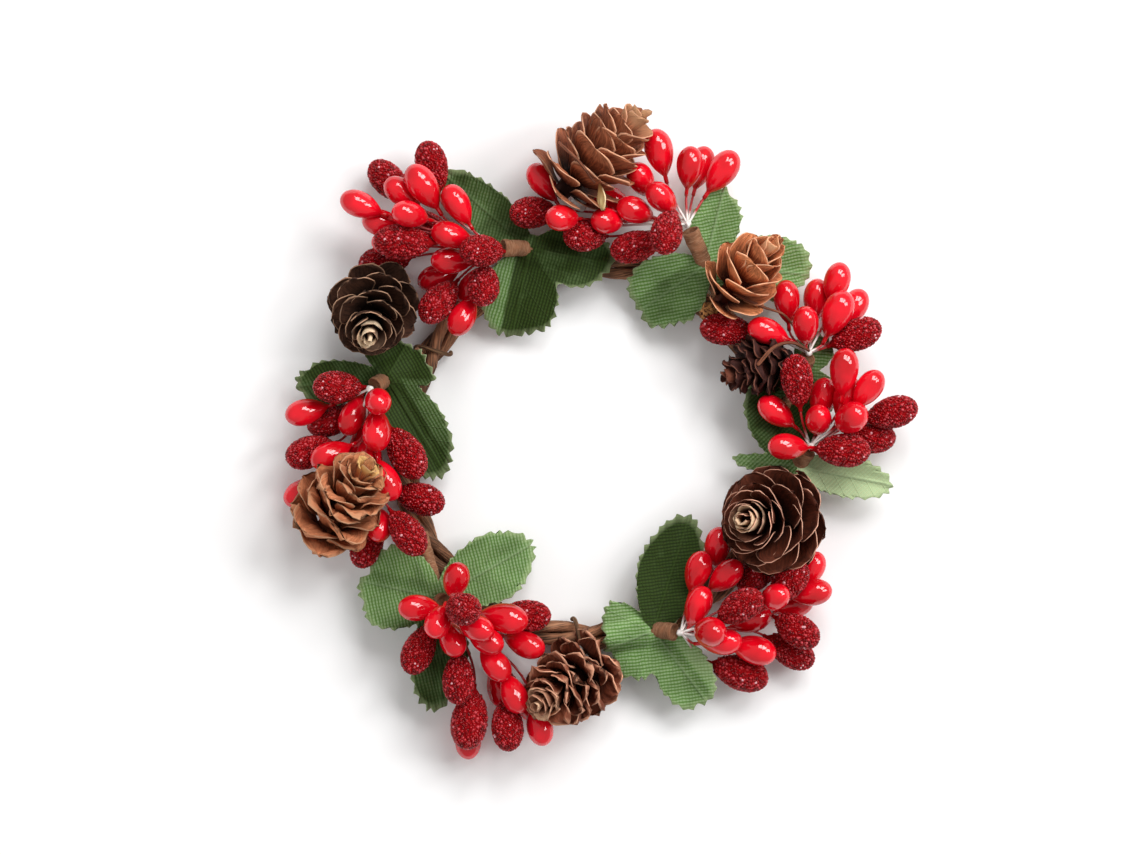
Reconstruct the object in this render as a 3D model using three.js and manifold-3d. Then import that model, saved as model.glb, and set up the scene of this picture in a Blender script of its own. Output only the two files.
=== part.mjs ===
// Pinecone wreath: a twisted vine ring that carries seven berry picks and seven open cones.
// A pick is a taped stem, a three-lobed fabric leaf threaded on it, and two sprays of berries on
// threads, one lacquered and one sugared. Millimetres, +Z up, lying flat as on a table.
// In the tables below X and Y are measured from the middle of the vine ring.
import * as THREE from 'three';
import { mergeVertices } from 'three/addons/utils/BufferGeometryUtils.js';
import Module from 'manifold-3d';

const wasm = await Module();
wasm.setup();

const { degToRad, lerp } = THREE.MathUtils;
const UP = new THREE.Vector3(0, 1, 0);
const FULL_TURN = 2 * Math.PI;
const GOLDEN_ANGLE = degToRad(137.5);

// Gap that stays between two pieces that touch, and the wider one between berries.
const CLEARANCE = 0.3;
const BERRY_GAP = 0.35;

// Vine ring: three strands twisted round one circle.
const RING_RADIUS = 52;
const STRAND_RADIUS = 1.6;
const STRAND_SPREAD = 2.2;
const STRANDS = [0, 1, 2];
const STRAND_TURNS = 8;
const STRAND_STEPS = 56;
const STRAND_SIDES = 5;
const VINE_RADIUS = STRAND_SPREAD + STRAND_RADIUS;
const VINE_TOP = 2 * VINE_RADIUS;

// Tendrils that clasp the ring from its inner side over the top, by where they start, in degrees.
const TENDRILS = [264, 145];
const TENDRIL_RADIUS = 0.6;
const TENDRIL_SLANT = 5;
const TENDRIL_CLASP = [-20, 200];
const TENDRIL_STATIONS = 9;

// Taped stem, from its flared mouth at the berries to the tail that lies on the vine.
// It comes down on the vine at a share of the way from the leaf to the tail.
const STEM_MOUTH_RADIUS = 3.2;
const STEM_COLLAR_RADIUS = 2.5;
const STEM_NECK_RADIUS = 2.1;
const STEM_TAIL_RADIUS = 1.7;
const STEM_SIDES = 8;
const STEM_LANDING = 0.4;
const STEM_LANDING_LIFT = 0.4;
const STEM_STATIONS = [0, 0.2, 0.4, 0.6, 0.8, 1];

// Two knots of thread above the mouth, one for each spray. A thread bends at a share of its way
// to the neck of its berry, and sags and bows to the side by the first distances that clear.
const KNOT_HEIGHT = 15.5;
const KNOT_RADIUS = 1.3;
const KNOT_TO_MOUTH = 1.9;
const THREAD_RADIUS = 0.4;
const THREAD_SIDES = 3;
const THREAD_PITCH = 2 * THREAD_RADIUS + CLEARANCE;
const THREAD_BEND = 0.45;
const THREAD_SAGS = [0, -1.5, 1.5, -3, 3];
const THREAD_BOWS = [0, 1, -1, 2, -2, 3, -3, 4, -4, 5, -5];
const PATH_STEPS = 12;
const NECK_REACH = 7.5;

// Leaf: three serrated lobes die-cut from one sheet of starched fabric. Teeth stand between two
// shares of the lobe's reach; their pitch is a share of that reach too, and their depth a share
// of the lobe's width there.
const LEAF_HEIGHT = 11;
const LEAF_THICKNESS = 0.5;
const LEAF_WAIST = 4;
const LOBE_SKEW = 1.15;
const LOBE_FULLNESS = 0.45;
const TEETH_PER_SIDE = 4;
const FIRST_TOOTH = 0.32;
const LAST_TOOTH = 0.9;
const TOOTH_PITCH = 0.1;
const TOOTH_DEPTH = 0.14;

// Where berries can rest on a lobe, as shares of its reach and of its width.
const REST_REACHES = [0.3, 0.55, 0.8];
const REST_SIDES = [-0.3, 0, 0.3];

// Berries, as [distance along the axis, radius], tip last. The balls stand in for the berry
// when it is stacked on its neighbours.
const BERRY_SIDES = 6;
const GLOSSY = {
  outline: [[-9, 0], [-3.2, 3.1], [1.8, 3.5], [5.4, 0]],
  balls: [[1.8, 3.15], [-1.5, 3.15], [-5.2, 1.7]],
};
const FROSTED = {
  outline: [[-9, 0], [-3.6, 4.1], [2.8, 4.5], [7.2, 0]],
  balls: [[2.8, 3.9], [-1, 4.2], [-5, 2.7]],
};

// Open cone, base at the negative end of its axis. Sizes are for a cone of size 1. Its core is
// given as [distance along the axis, radius], and a scale has its widest place at the shoulder.
// Pairs of values are for the scale nearest the base and the one nearest the tip.
const CONE_LENGTH = 28;
const CONE = { balls: [[-6, 7], [0, 8.5], [6, 6.5]] };
const CORE = [[-0.5, 0], [-0.46, 2.2], [0, 2.8], [0.43, 1.2], [0.5, 0]];
const CORE_SIDES = 5;
const SCALE_COUNT = 13;
const SCALE_THICKNESS = 0.9;
const SCALE_SHOULDER = 0.68;
const SCALE_ROOTS = [-0.39, 0.29];
const SCALE_OPENINGS = [88, 12];
const SCALE_LENGTHS = [13.8, 8];
const SCALE_WIDTHS = [11, 6.6];

const GLUE_RADIUS = 3;

// One berry or cone: where its middle is seen from above, the height it hangs at when nothing is
// under it, where its tip points (yaw in the XY plane, pitch above it) and its relative size.
const hung = (kind) => (x, y, lift, yaw, pitch, size = 1) => ({ kind, x, y, lift, yaw, pitch, size });
const glossy = hung(GLOSSY);
const frosted = hung(FROSTED);
const cone = hung(CONE);

// One lobe of a leaf: bearing of its midrib, reach, width, and how far its tip lies above the
// leaf's middle and its left edge above its right edge.
const lobe = (bearing, reach, width, rise, roll) => ({ bearing, reach, width, rise, roll });

// The picks, clockwise from the upper left. Berries are listed from the lowest to the topmost.
const PICKS = [
  {
    knot: [-26, 56], leaf: [-16.8, 56], tail: [-5, 53.5],
    lobes: [lobe(139, 31, 14, -2, 1), lobe(258, 26, 22, -5, 0), lobe(350, 24, 18, -3, 0)],
    berries: [
      frosted(-57.5, 52.5, 7, 190, 0), frosted(-45.5, 62, 7, 160, 10), glossy(-43, 48, 8, 200, 0),
      glossy(-55.5, 57.5, 9, 175, 0),
      frosted(-56, 75, 8, 135, 0), glossy(-33, 45, 8, 240, 0), glossy(-35.5, 36.5, 10, 240, 15),
      frosted(-42, 41, 13, 230, 20), frosted(-44, 79, 12, 104, 10), glossy(-58, 63, 12, 168, 0),
      frosted(-52, 57.5, 15, 178, 5, 1.1), glossy(-64, 68, 14, 158, 5),
      frosted(-29.5, 45.5, 16, 265, 50), glossy(-52.5, 71.5, 18, 141, 15),
      glossy(-46.5, 73.5, 20, 123, 10, 1.15), glossy(-50, 65, 22, 166, 40),
      glossy(-39, 52.5, 17, 180, 15), glossy(-39, 59.5, 21, 164, 20), glossy(-37, 68.5, 22, 121, 10),
      frosted(-30, 55, 20, 180, 45),
    ],
  },
  {
    knot: [27, 62.5], leaf: [32, 51.5], tail: [38.5, 37],
    lobes: [lobe(76, 22, 15, 1, 0), lobe(215, 23, 21, -4, 0), lobe(355, 29, 19, -1, 0)],
    berries: [
      glossy(31, 79.5, 8, 75, 0), glossy(6, 69.5, 8, 150, 0), frosted(-1.5, 59.5, 12, 180, 45),
      frosted(-16, 66, 9, 185, 35), glossy(-8, 64, 12, 180, 50), glossy(-13.5, 75, 8, 125, 10),
      glossy(14, 75.5, 13, 120, 40), glossy(4.5, 63.5, 16, 180, 50), frosted(12.5, 56.5, 14, 195, 10),
      glossy(12, 66.5, 18, 160, 35), glossy(19, 83.5, 14, 104, 10, 1.1),
      glossy(37, 78, 14, 56, 10, 1.1), glossy(27.5, 79, 18, 84, 20), glossy(19.5, 70, 20, 135, 40),
      frosted(21, 60, 18, 260, 40),
    ],
  },
  {
    knot: [60.5, 27], leaf: [59, 22], tail: [53.5, 11],
    lobes: [lobe(60, 13, 12, 1, 0), lobe(190, 16, 14, -2, 0), lobe(300, 14, 13, -2, 0)],
    berries: [
      frosted(37.5, 33.5, 10, 175, 0), glossy(63, 42.5, 9, 85, 10), glossy(73.5, 40, 9, 60, 0),
      glossy(54.5, 42, 12, 95, 10), glossy(68.5, 47, 12, 75, 10), glossy(48.5, 33, 14, 160, 15),
      frosted(74, 32, 12, 22, 5), glossy(68.5, 38.5, 17, 66, 15, 1.15), glossy(59.5, 35, 20, 92, 35),
    ],
  },
  {
    knot: [61, 1], leaf: [57.5, -4.5], tail: [53, -11],
    lobes: [lobe(107, 29, 20, 1.5, -1), lobe(174, 18, 5, 0, 5), lobe(349, 27, 13, 1, 5)],
    berries: [
      glossy(64.5, 15, 8, 80, 15), glossy(71, 15.5, 10, 70, 10), frosted(78, 3.5, 8, 0, 5),
      frosted(84, 10.5, 11, 15, 5), glossy(77, 17.5, 14, 55, 15), glossy(70, 22.5, 16, 85, 15, 1.1),
      frosted(57, 19.5, 20, 97, 10), glossy(51, 11, 16, 142, 10), frosted(70, 0, 14, 358, 15, 1.05),
      glossy(54, 1, 17, 178, 25), glossy(72, 9, 20, 40, 60, 1.15), glossy(63, 8.5, 20, 90, 60),
    ],
  },
  {
    knot: [25, -50.5], leaf: [17.5, -50], tail: [5, -52.5],
    lobes: [lobe(72, 32, 19, -4, 0), lobe(203, 14.5, 24, -4, 0), lobe(307, 27, 15.5, -2, 1)],
    berries: [
      frosted(46.5, -34, 7, 50, 10), glossy(35.5, -26.5, 9, 80, 10), glossy(45.5, -47, 8, 20, 0),
      frosted(56, -56, 8, 330, 0),
      glossy(57, -43, 6, 10, 0), glossy(61.5, -33, 9, 60, 15), glossy(62, -39.5, 9, 10, 15),
      frosted(42, -62, 9, 342, 5, 1.1), glossy(30, -33, 13, 72, 15), frosted(55, -36.5, 12, 50, 20),
      glossy(38, -34.5, 15, 42, 20), frosted(57.5, -50, 12, 330, 30), glossy(30, -42.5, 18, 68, 15),
      glossy(46, -55.5, 15, 345, 15, 1.1), glossy(51, -40.5, 20, 35, 60), frosted(41.5, -43, 20, 30, 25),
      glossy(37, -53, 18, 5, 25), glossy(33, -50, 21, 0, 70, 1.15),
    ],
  },
  {
    knot: [-40, -43], leaf: [-42, -41], tail: [-47, -23],
    lobes: [lobe(168, 22, 25, -3, 0), lobe(30, 30, 19, -4, 0), lobe(271, 32, 17, -3, -1)],
    berries: [
      glossy(-25, -67, 7, 290, 10), glossy(-17, -71, 6, 300, 10), glossy(-34, -81, 6, 270, 0),
      frosted(-18, -46, 13, 0, 0), glossy(-17.5, -54, 12, 340, 15), glossy(-14, -77, 8, 285, 10),
      frosted(-23, -76.5, 10, 275, 15), frosted(-33.5, -75, 10, 262, 10, 1.15),
      glossy(-21, -68, 13, 295, 20), frosted(-36.5, -63.5, 13, 270, 20),
      frosted(-47.5, -55.5, 12, 245, 15), glossy(-26, -59.5, 15, 310, 25),
      glossy(-23, -46.5, 17, 350, 15, 1.15), glossy(-28.5, -52.5, 17, 330, 30),
      glossy(-48, -43.5, 16, 180, 25),
      glossy(-37, -35.5, 17, 75, 40), glossy(-38, -52.5, 20, 290, 35), glossy(-42, -47.5, 20, 250, 50),
      glossy(-31, -49, 18, 340, 40), frosted(-35, -43.5, 20, 0, 65),
    ],
  },
  {
    knot: [-61, 17], leaf: [-56.5, 20], tail: [-47, 27.5],
    lobes: [lobe(185, 28, 12.5, -1, 2), lobe(60, 11.5, 24, 2, 0), lobe(301, 33, 18, -3, 0)],
    berries: [
      glossy(-80.5, -12, 8, 210, 0), frosted(-72, 8.5, 8, 200, 0), glossy(-63.5, 1, 8, 260, 0),
      frosted(-62, -26, 9, 250, 0), glossy(-66, 9, 12, 247, 15), frosted(-78, -0.5, 9, 200, 25),
      glossy(-72.5, -1.5, 12, 205, 15), glossy(-79.5, 10.5, 12, 195, 10), glossy(-61.5, -2, 14, 260, 20),
      glossy(-58.5, -21, 12, 270, 50), frosted(-50.5, -23, 13, 307, 15), frosted(-47, -13.5, 14, 345, 20),
      frosted(-51, -1, 16, 302, 15, 1.1), glossy(-56, -9, 17, 293, 10), frosted(-70, 17.5, 16, 180, 30),
      glossy(-59, 5, 20, 270, 30, 1.1), glossy(-58.5, 13.5, 20, 300, 75),
    ],
  },
];

// The cones, each after the pick it leans on.
const CONES = [
  { after: 1, at: cone(1.5, 81, 13.5, 45, 15, 1.1), glue: [-3, 69, 10] },
  { after: 2, at: cone(42.5, 48.5, 13.5, 48, 40, 0.95), glue: [44, 41, 10] },
  { after: 4, at: cone(49.5, -19.5, 13.5, 175, 62, 1.15), glue: [50, -19, 10] },
  { after: 5, at: cone(-5.5, -64.5, 13.5, 212, 45), glue: [-4, -57, 10] },
  { after: 6, at: cone(-68.5, -14.5, 13.5, 54, 40, 1.05), glue: [-62, -14, 10] },
  { after: 0, at: cone(-60.5, 38, 17, 270, 60), glue: [-53.5, 34, 9] },
  { after: 1, at: cone(47, 23.5, 10, 200, 10, 0.7), glue: [48, 24, 9] },
];

const MATERIALS = {
  vine: { color: 0x785a41, roughness: 0.85 },
  tape: { color: 0x96694b, roughness: 0.8 },
  leaf: { color: 0x466e3c, roughness: 0.7 },
  lacquer: { color: 0xe11423, roughness: 0.15 },
  sugar: { color: 0x821428, roughness: 0.6 },
  cone: { color: 0x966946, roughness: 0.8 },
  glue: { color: 0xc8c8c3, roughness: 0.3 },
};

function vector(x, y, z) {
  return new THREE.Vector3(x, y, z);
}

function direction(yaw, pitch) {
  const turn = degToRad(yaw);
  const level = Math.cos(degToRad(pitch));
  return vector(level * Math.cos(turn), level * Math.sin(turn), Math.sin(degToRad(pitch)));
}

// Solids and back

// Joins the corners that faces share. Shapes are welded before they are moved, while those
// corners still have exactly the same coordinates.
function welded(geometry) {
  geometry.deleteAttribute('normal');
  geometry.deleteAttribute('uv');
  const merged = mergeVertices(geometry);
  const corners = merged.index.array;
  const kept = [];
  for (let i = 0; i < corners.length; i += 3) {
    const [a, b, c] = corners.slice(i, i + 3);
    if (a !== b && b !== c && c !== a) {
      kept.push(a, b, c);
    }
  }
  return merged.setIndex(kept);
}

function solidOf(geometry) {
  return new wasm.Manifold(new wasm.Mesh({
    numProp: 3,
    vertProperties: new Float32Array(geometry.attributes.position.array),
    triVerts: new Uint32Array(geometry.index.array),
  }));
}

function geometryOf(solid) {
  const mesh = solid.getMesh();
  const geometry = new THREE.BufferGeometry();
  geometry.setAttribute('position', new THREE.BufferAttribute(mesh.vertProperties, mesh.numProp));
  geometry.setIndex(new THREE.BufferAttribute(mesh.triVerts, 1));
  return geometry;
}

function joined(solids) {
  return solids.reduce((whole, solid) => whole.add(solid));
}

function without(solid, cutters) {
  return cutters.reduce((rest, cutter) => rest.subtract(cutter), solid);
}

// A cut can leave crumbs at a crossing, and only the piece itself is kept.
function largest(solid) {
  const bodies = solid.decompose();
  return bodies.reduce((best, body) => (body.volume() > best.volume() ? body : best));
}

function turned(outline, sides) {
  const profile = outline.map(([along, radius]) => new THREE.Vector2(radius, along));
  return welded(new THREE.LatheGeometry(profile, sides));
}

function aimed(geometry, middle, axis) {
  geometry.applyQuaternion(new THREE.Quaternion().setFromUnitVectors(UP, axis));
  geometry.translate(middle.x, middle.y, middle.z);
  return geometry;
}

// A round rod along a curve, with its own radius at each station.
function rod(curve, radii, sides) {
  const last = radii.length - 1;
  const frames = curve.computeFrenetFrames(last);
  const outline = [[0, 0], ...radii.map((radius, station) => [station, radius]), [last, 0]];
  const geometry = turned(outline, sides);
  const position = geometry.attributes.position;
  for (let i = 0; i < position.count; i += 1) {
    const station = Math.round(position.getY(i));
    const point = curve.getPoint(station / last)
      .addScaledVector(frames.binormals[station], position.getX(i))
      .addScaledVector(frames.normals[station], position.getZ(i));
    position.setXYZ(i, point.x, point.y, point.z);
  }
  return geometry;
}

// Vine

class StrandCurve extends THREE.Curve {
  constructor(phase) {
    super();
    this.phase = phase;
  }

  getPoint(t, target = new THREE.Vector3()) {
    const around = t * FULL_TURN;
    const twist = STRAND_TURNS * around + this.phase;
    const radius = RING_RADIUS + STRAND_SPREAD * Math.cos(twist);
    const height = VINE_RADIUS + STRAND_SPREAD * Math.sin(twist);
    return target.set(radius * Math.cos(around), radius * Math.sin(around), height);
  }
}

// A strand closes on itself, so the tube has no open ends.
function strandGeometry(index, grow = 0) {
  const curve = new StrandCurve(index * FULL_TURN / STRANDS.length);
  return welded(new THREE.TubeGeometry(curve, STRAND_STEPS, STRAND_RADIUS + grow, STRAND_SIDES, true));
}

class TendrilCurve extends THREE.Curve {
  constructor(start) {
    super();
    this.start = start;
  }

  getPoint(t, target = new THREE.Vector3()) {
    const around = degToRad(this.start + TENDRIL_SLANT * t);
    const over = degToRad(lerp(...TENDRIL_CLASP, t));
    const offset = VINE_RADIUS + CLEARANCE + TENDRIL_RADIUS;
    const radius = RING_RADIUS - offset * Math.cos(over);
    const height = VINE_RADIUS + offset * Math.sin(over);
    return target.set(radius * Math.cos(around), radius * Math.sin(around), height);
  }
}

function tendrilGeometry(start, grow = 0) {
  const radius = TENDRIL_RADIUS + grow;
  return rod(new TendrilCurve(start), Array(TENDRIL_STATIONS).fill(radius), STRAND_SIDES);
}

// Stacking: every berry and cone keeps its place as seen from above and is lowered until it
// touches the vine, a stem, a leaf or what was laid before it.

function heightOnVine(x, y, radius) {
  const offset = Math.abs(Math.hypot(x, y) - RING_RADIUS);
  const reach = VINE_RADIUS + radius + BERRY_GAP;
  return offset < reach ? VINE_RADIUS + Math.sqrt(reach ** 2 - offset ** 2) : 0;
}

function lower(item, laid) {
  const axis = direction(item.yaw, item.pitch);
  const balls = item.kind.balls.map(([along, radius]) => ({
    x: item.x + axis.x * along * item.size,
    y: item.y + axis.y * along * item.size,
    z: axis.z * along * item.size,
    radius: radius * item.size,
  }));
  let height = item.lift;
  for (const ball of balls) {
    height = Math.max(height, heightOnVine(ball.x, ball.y, ball.radius) - ball.z);
    for (const other of laid) {
      const reach = ball.radius + other.radius + BERRY_GAP;
      const apart = Math.hypot(ball.x - other.x, ball.y - other.y);
      if (apart < reach) {
        height = Math.max(height, other.z + Math.sqrt(reach ** 2 - apart ** 2) - ball.z);
      }
    }
  }
  for (const ball of balls) {
    laid.push({ ...ball, z: ball.z + height });
  }
  item.axis = axis;
  item.middle = vector(item.x, item.y, height);
}

// Stems

function stemCurve(pick) {
  const leaf = vector(...pick.leaf, LEAF_HEIGHT);
  const tail = vector(...pick.tail, VINE_TOP + STEM_TAIL_RADIUS + CLEARANCE);
  const knot = vector(...pick.knot, KNOT_HEIGHT);
  const mouth = knot.clone().addScaledVector(leaf.clone().sub(knot).normalize(), KNOT_TO_MOUTH);
  const landing = leaf.clone().lerp(tail, STEM_LANDING).setZ(tail.z + STEM_LANDING_LIFT);
  return new THREE.CatmullRomCurve3([mouth, leaf, landing, tail]);
}

function stemGeometry(pick, grow = 0) {
  const radii = [STEM_MOUTH_RADIUS, STEM_COLLAR_RADIUS, STEM_NECK_RADIUS, STEM_TAIL_RADIUS,
    STEM_TAIL_RADIUS];
  return rod(stemCurve(pick), radii.map((radius) => radius + grow), STEM_SIDES);
}

function stemBalls(pick) {
  const curve = stemCurve(pick);
  return STEM_STATIONS.map((t) => ({
    ...curve.getPointAt(t),
    radius: lerp(STEM_MOUTH_RADIUS, STEM_TAIL_RADIUS, t),
  }));
}

// Leaves

// Half the width of a lobe at a share of its reach, as a share of its greatest width.
function lobeProfile(share) {
  return 0.5 * Math.sin(Math.PI * share ** LOBE_SKEW) ** LOBE_FULLNESS;
}

function leafHeight(pick, x, y) {
  const dx = x - pick.leaf[0];
  const dy = y - pick.leaf[1];
  let best = { toward: -Infinity };
  for (const { bearing, reach, width, rise, roll } of pick.lobes) {
    const c = Math.cos(degToRad(bearing));
    const s = Math.sin(degToRad(bearing));
    const along = (dx * c + dy * s) / reach;
    const across = THREE.MathUtils.clamp((dy * c - dx * s) / width, -0.5, 0.5);
    const toward = (dx * c + dy * s) / Math.hypot(dx, dy);
    if (toward > best.toward) {
      best = { toward, height: Math.max(along, 0) * (rise * along + roll * across) };
    }
  }
  return LEAF_HEIGHT + best.height;
}

function lobePoint(pick, { bearing, reach, width }, share, side) {
  const c = Math.cos(degToRad(bearing));
  const s = Math.sin(degToRad(bearing));
  const along = share * reach;
  const across = side * width;
  return [pick.leaf[0] + along * c - across * s, pick.leaf[1] + along * s + across * c];
}

// The toothed edge of a lobe on one side, from the leaf's middle outwards, up to where it would
// cross into the next lobe's part of the turn.
function lobeEdge(pick, each, side, turnToNext) {
  const points = [];
  for (let tooth = 0; tooth < TEETH_PER_SIDE; tooth += 1) {
    const point = lerp(FIRST_TOOTH, LAST_TOOTH, tooth / (TEETH_PER_SIDE - 1));
    for (const [share, depth] of [[point, 0], [point + TOOTH_PITCH / 2, TOOTH_DEPTH]]) {
      const half = lobeProfile(share) * (1 - depth);
      if (Math.atan2(half * each.width, share * each.reach) < degToRad(turnToNext / 2)) {
        points.push(lobePoint(pick, each, share, side * half));
      }
    }
  }
  return points;
}

function leafOutline(pick) {
  const lobes = [...pick.lobes].sort((a, b) => a.bearing - b.bearing);
  const [x, y] = pick.leaf;
  return lobes.flatMap((each, index) => {
    const before = lobes[(index + lobes.length - 1) % lobes.length];
    const next = lobes[(index + 1) % lobes.length];
    const turnBack = (each.bearing - before.bearing + 360) % 360;
    const turnToNext = (next.bearing - each.bearing + 360) % 360;
    const waist = degToRad(each.bearing + turnToNext / 2);
    return [
      ...lobeEdge(pick, each, -1, turnBack),
      lobePoint(pick, each, 1, 0),
      ...lobeEdge(pick, each, 1, turnToNext).reverse(),
      [x + LEAF_WAIST * Math.cos(waist), y + LEAF_WAIST * Math.sin(waist)],
    ];
  });
}

function leafGeometry(pick, grow = 0) {
  const shape = new THREE.Shape(leafOutline(pick).map(([x, y]) => new THREE.Vector2(x, y)));
  const depth = LEAF_THICKNESS + 2 * grow;
  const geometry = welded(new THREE.ExtrudeGeometry(shape, { depth, bevelEnabled: false }));
  const position = geometry.attributes.position;
  for (let i = 0; i < position.count; i += 1) {
    const height = leafHeight(pick, position.getX(i), position.getY(i));
    position.setZ(i, position.getZ(i) + height - grow - LEAF_THICKNESS / 2);
  }
  return geometry;
}

function leafBalls(pick) {
  return pick.lobes.flatMap((each) => REST_REACHES.flatMap((share) => REST_SIDES.map((side) => {
    const [x, y] = lobePoint(pick, each, share, side);
    return { x, y, z: leafHeight(pick, x, y), radius: LEAF_THICKNESS };
  })));
}

// Berries

function knotOf(pick, kind) {
  return vector(...pick.knot, KNOT_HEIGHT + (kind === GLOSSY ? 1 : -1) * (KNOT_RADIUS + CLEARANCE));
}

function berrySolid({ kind, middle, axis, size }, grow = 0) {
  const outline = kind.outline.map(([along, radius], index) => {
    const isEnd = index === 0 || index === kind.outline.length - 1;
    return [along * size + Math.sign(along) * grow, isEnd ? 0 : radius * size + grow];
  });
  return solidOf(aimed(turned(outline, BERRY_SIDES), middle, axis));
}

function neckOf({ middle, axis, size }) {
  return middle.clone().addScaledVector(axis, -NECK_REACH * size);
}

// The threads of the sugared berries bow aside where a straight one would meet a lacquered one.
function threadPath(pick, berry) {
  const knot = knotOf(pick, berry.kind);
  const neck = neckOf(berry);
  const aside = neck.clone().sub(knot).cross(vector(0, 0, 1)).normalize();
  const taken = berry.kind === GLOSSY ? [] : pick.berries
    .filter(({ kind }) => kind === GLOSSY)
    .map((other) => new THREE.Line3(knotOf(pick, GLOSSY), neckOf(other)));
  for (const sag of THREAD_SAGS) {
    for (const bow of THREAD_BOWS) {
      const bend = knot.clone().lerp(neck, THREAD_BEND).addScaledVector(aside, bow).add(vector(0, 0, sag));
      const halves = [new THREE.Line3(knot, bend), new THREE.Line3(bend, neck)];
      if (halves.every((half) => taken.every((line) => isClear(half, line)))) {
        return [knot, bend, neck];
      }
    }
  }
  throw new Error('no clear path for a thread');
}

function isClear(path, line) {
  const point = vector(0, 0, 0);
  const nearest = vector(0, 0, 0);
  for (let step = 0; step <= PATH_STEPS; step += 1) {
    path.at(step / PATH_STEPS, point);
    if (line.closestPointToPoint(point, true, nearest).distanceTo(point) < THREAD_PITCH) {
      return false;
    }
  }
  return true;
}

function threadSolids(pick, kind, grow = 0) {
  const knot = knotOf(pick, kind);
  const ball = welded(new THREE.IcosahedronGeometry(KNOT_RADIUS + grow));
  ball.translate(knot.x, knot.y, knot.z);
  const radius = THREAD_RADIUS + grow;
  const threads = pick.berries.filter((berry) => berry.kind === kind).map((berry) => {
    const [from, bend, to] = threadPath(pick, berry);
    if (kind === GLOSSY) {
      return solidOf(rod(new THREE.LineCurve3(from, to), [radius, radius], THREAD_SIDES));
    }
    const curve = new THREE.CatmullRomCurve3([from, bend, to]);
    return solidOf(rod(curve, [radius, radius, radius], THREAD_SIDES));
  });
  return joined([solidOf(ball), ...threads]);
}

function headSolids(pick, kind, grow = 0) {
  const berries = pick.berries.filter((berry) => berry.kind === kind);
  return joined(berries.map((berry) => berrySolid(berry, grow)));
}

// Cones

function scaleGeometry(length, width, grow) {
  const half = width / 2 + grow;
  const tip = length + grow;
  const shape = new THREE.Shape([
    new THREE.Vector2(0, 0),
    new THREE.Vector2(half, SCALE_SHOULDER * tip),
    new THREE.Vector2(0, tip),
    new THREE.Vector2(-half, SCALE_SHOULDER * tip),
  ]);
  const depth = SCALE_THICKNESS + 2 * grow;
  const geometry = welded(new THREE.ExtrudeGeometry(shape, { depth, bevelEnabled: false }));
  return geometry.translate(0, 0, -depth / 2);
}

function coneSolid({ middle, axis, size }, grow = 0) {
  const long = CONE_LENGTH * size;
  const core = turned(CORE.map(([along, radius]) => [along * long, radius && radius + grow]), CORE_SIDES);
  const scales = [];
  for (let i = 0; i < SCALE_COUNT; i += 1) {
    const share = i / (SCALE_COUNT - 1);
    const length = size * lerp(...SCALE_LENGTHS, share ** 2);
    const geometry = scaleGeometry(length, size * lerp(...SCALE_WIDTHS, share), grow);
    geometry.rotateX(degToRad(lerp(...SCALE_OPENINGS, share)));
    geometry.translate(0, long * lerp(...SCALE_ROOTS, share), 0);
    geometry.rotateY(i * GOLDEN_ANGLE);
    scales.push(solidOf(aimed(geometry, middle, axis)));
  }
  return joined([solidOf(aimed(core, middle, axis)), ...scales]);
}

// Assembly

const laid = PICKS.flatMap((pick) => [...stemBalls(pick), ...leafBalls(pick)]);
PICKS.forEach((pick, index) => {
  pick.berries.forEach((berry) => lower(berry, laid));
  CONES.filter(({ after }) => after === index).forEach(({ at }) => lower(at, laid));
});

const wreath = new THREE.Group();
wreath.name = 'pinecone_wreath';

function addPiece(parent, name, geometry, look) {
  geometry.computeVertexNormals();
  const material = new THREE.MeshStandardMaterial({ metalness: 0, ...MATERIALS[look] });
  const mesh = new THREE.Mesh(geometry, material);
  mesh.name = name;
  parent.add(mesh);
}

TENDRILS.forEach((start, index) => {
  addPiece(wreath, `vine_tendril_${index + 1}`, tendrilGeometry(start), 'vine');
});
STRANDS.forEach((index) => addPiece(wreath, `vine_strand_${index + 1}`, strandGeometry(index), 'vine'));

// What each softer piece gives way to: everything made before it, grown by the clearance.
const vineCutters = [
  ...STRANDS.map((index) => solidOf(strandGeometry(index, CLEARANCE))),
  ...TENDRILS.map((start) => solidOf(tendrilGeometry(start, CLEARANCE))),
];
const stemCutters = PICKS.map((pick) => solidOf(stemGeometry(pick, CLEARANCE)));
const KINDS = [GLOSSY, FROSTED];
const threadCutters = PICKS.map((pick) => KINDS.map((kind) => threadSolids(pick, kind, CLEARANCE)));
const headCutters = PICKS.map((pick) => KINDS.map((kind) => headSolids(pick, kind, CLEARANCE)));
const coneCutters = CONES.map(({ at }) => coneSolid(at, CLEARANCE));
const leafCutters = PICKS.map((pick) => solidOf(leafGeometry(pick, CLEARANCE)));

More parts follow.
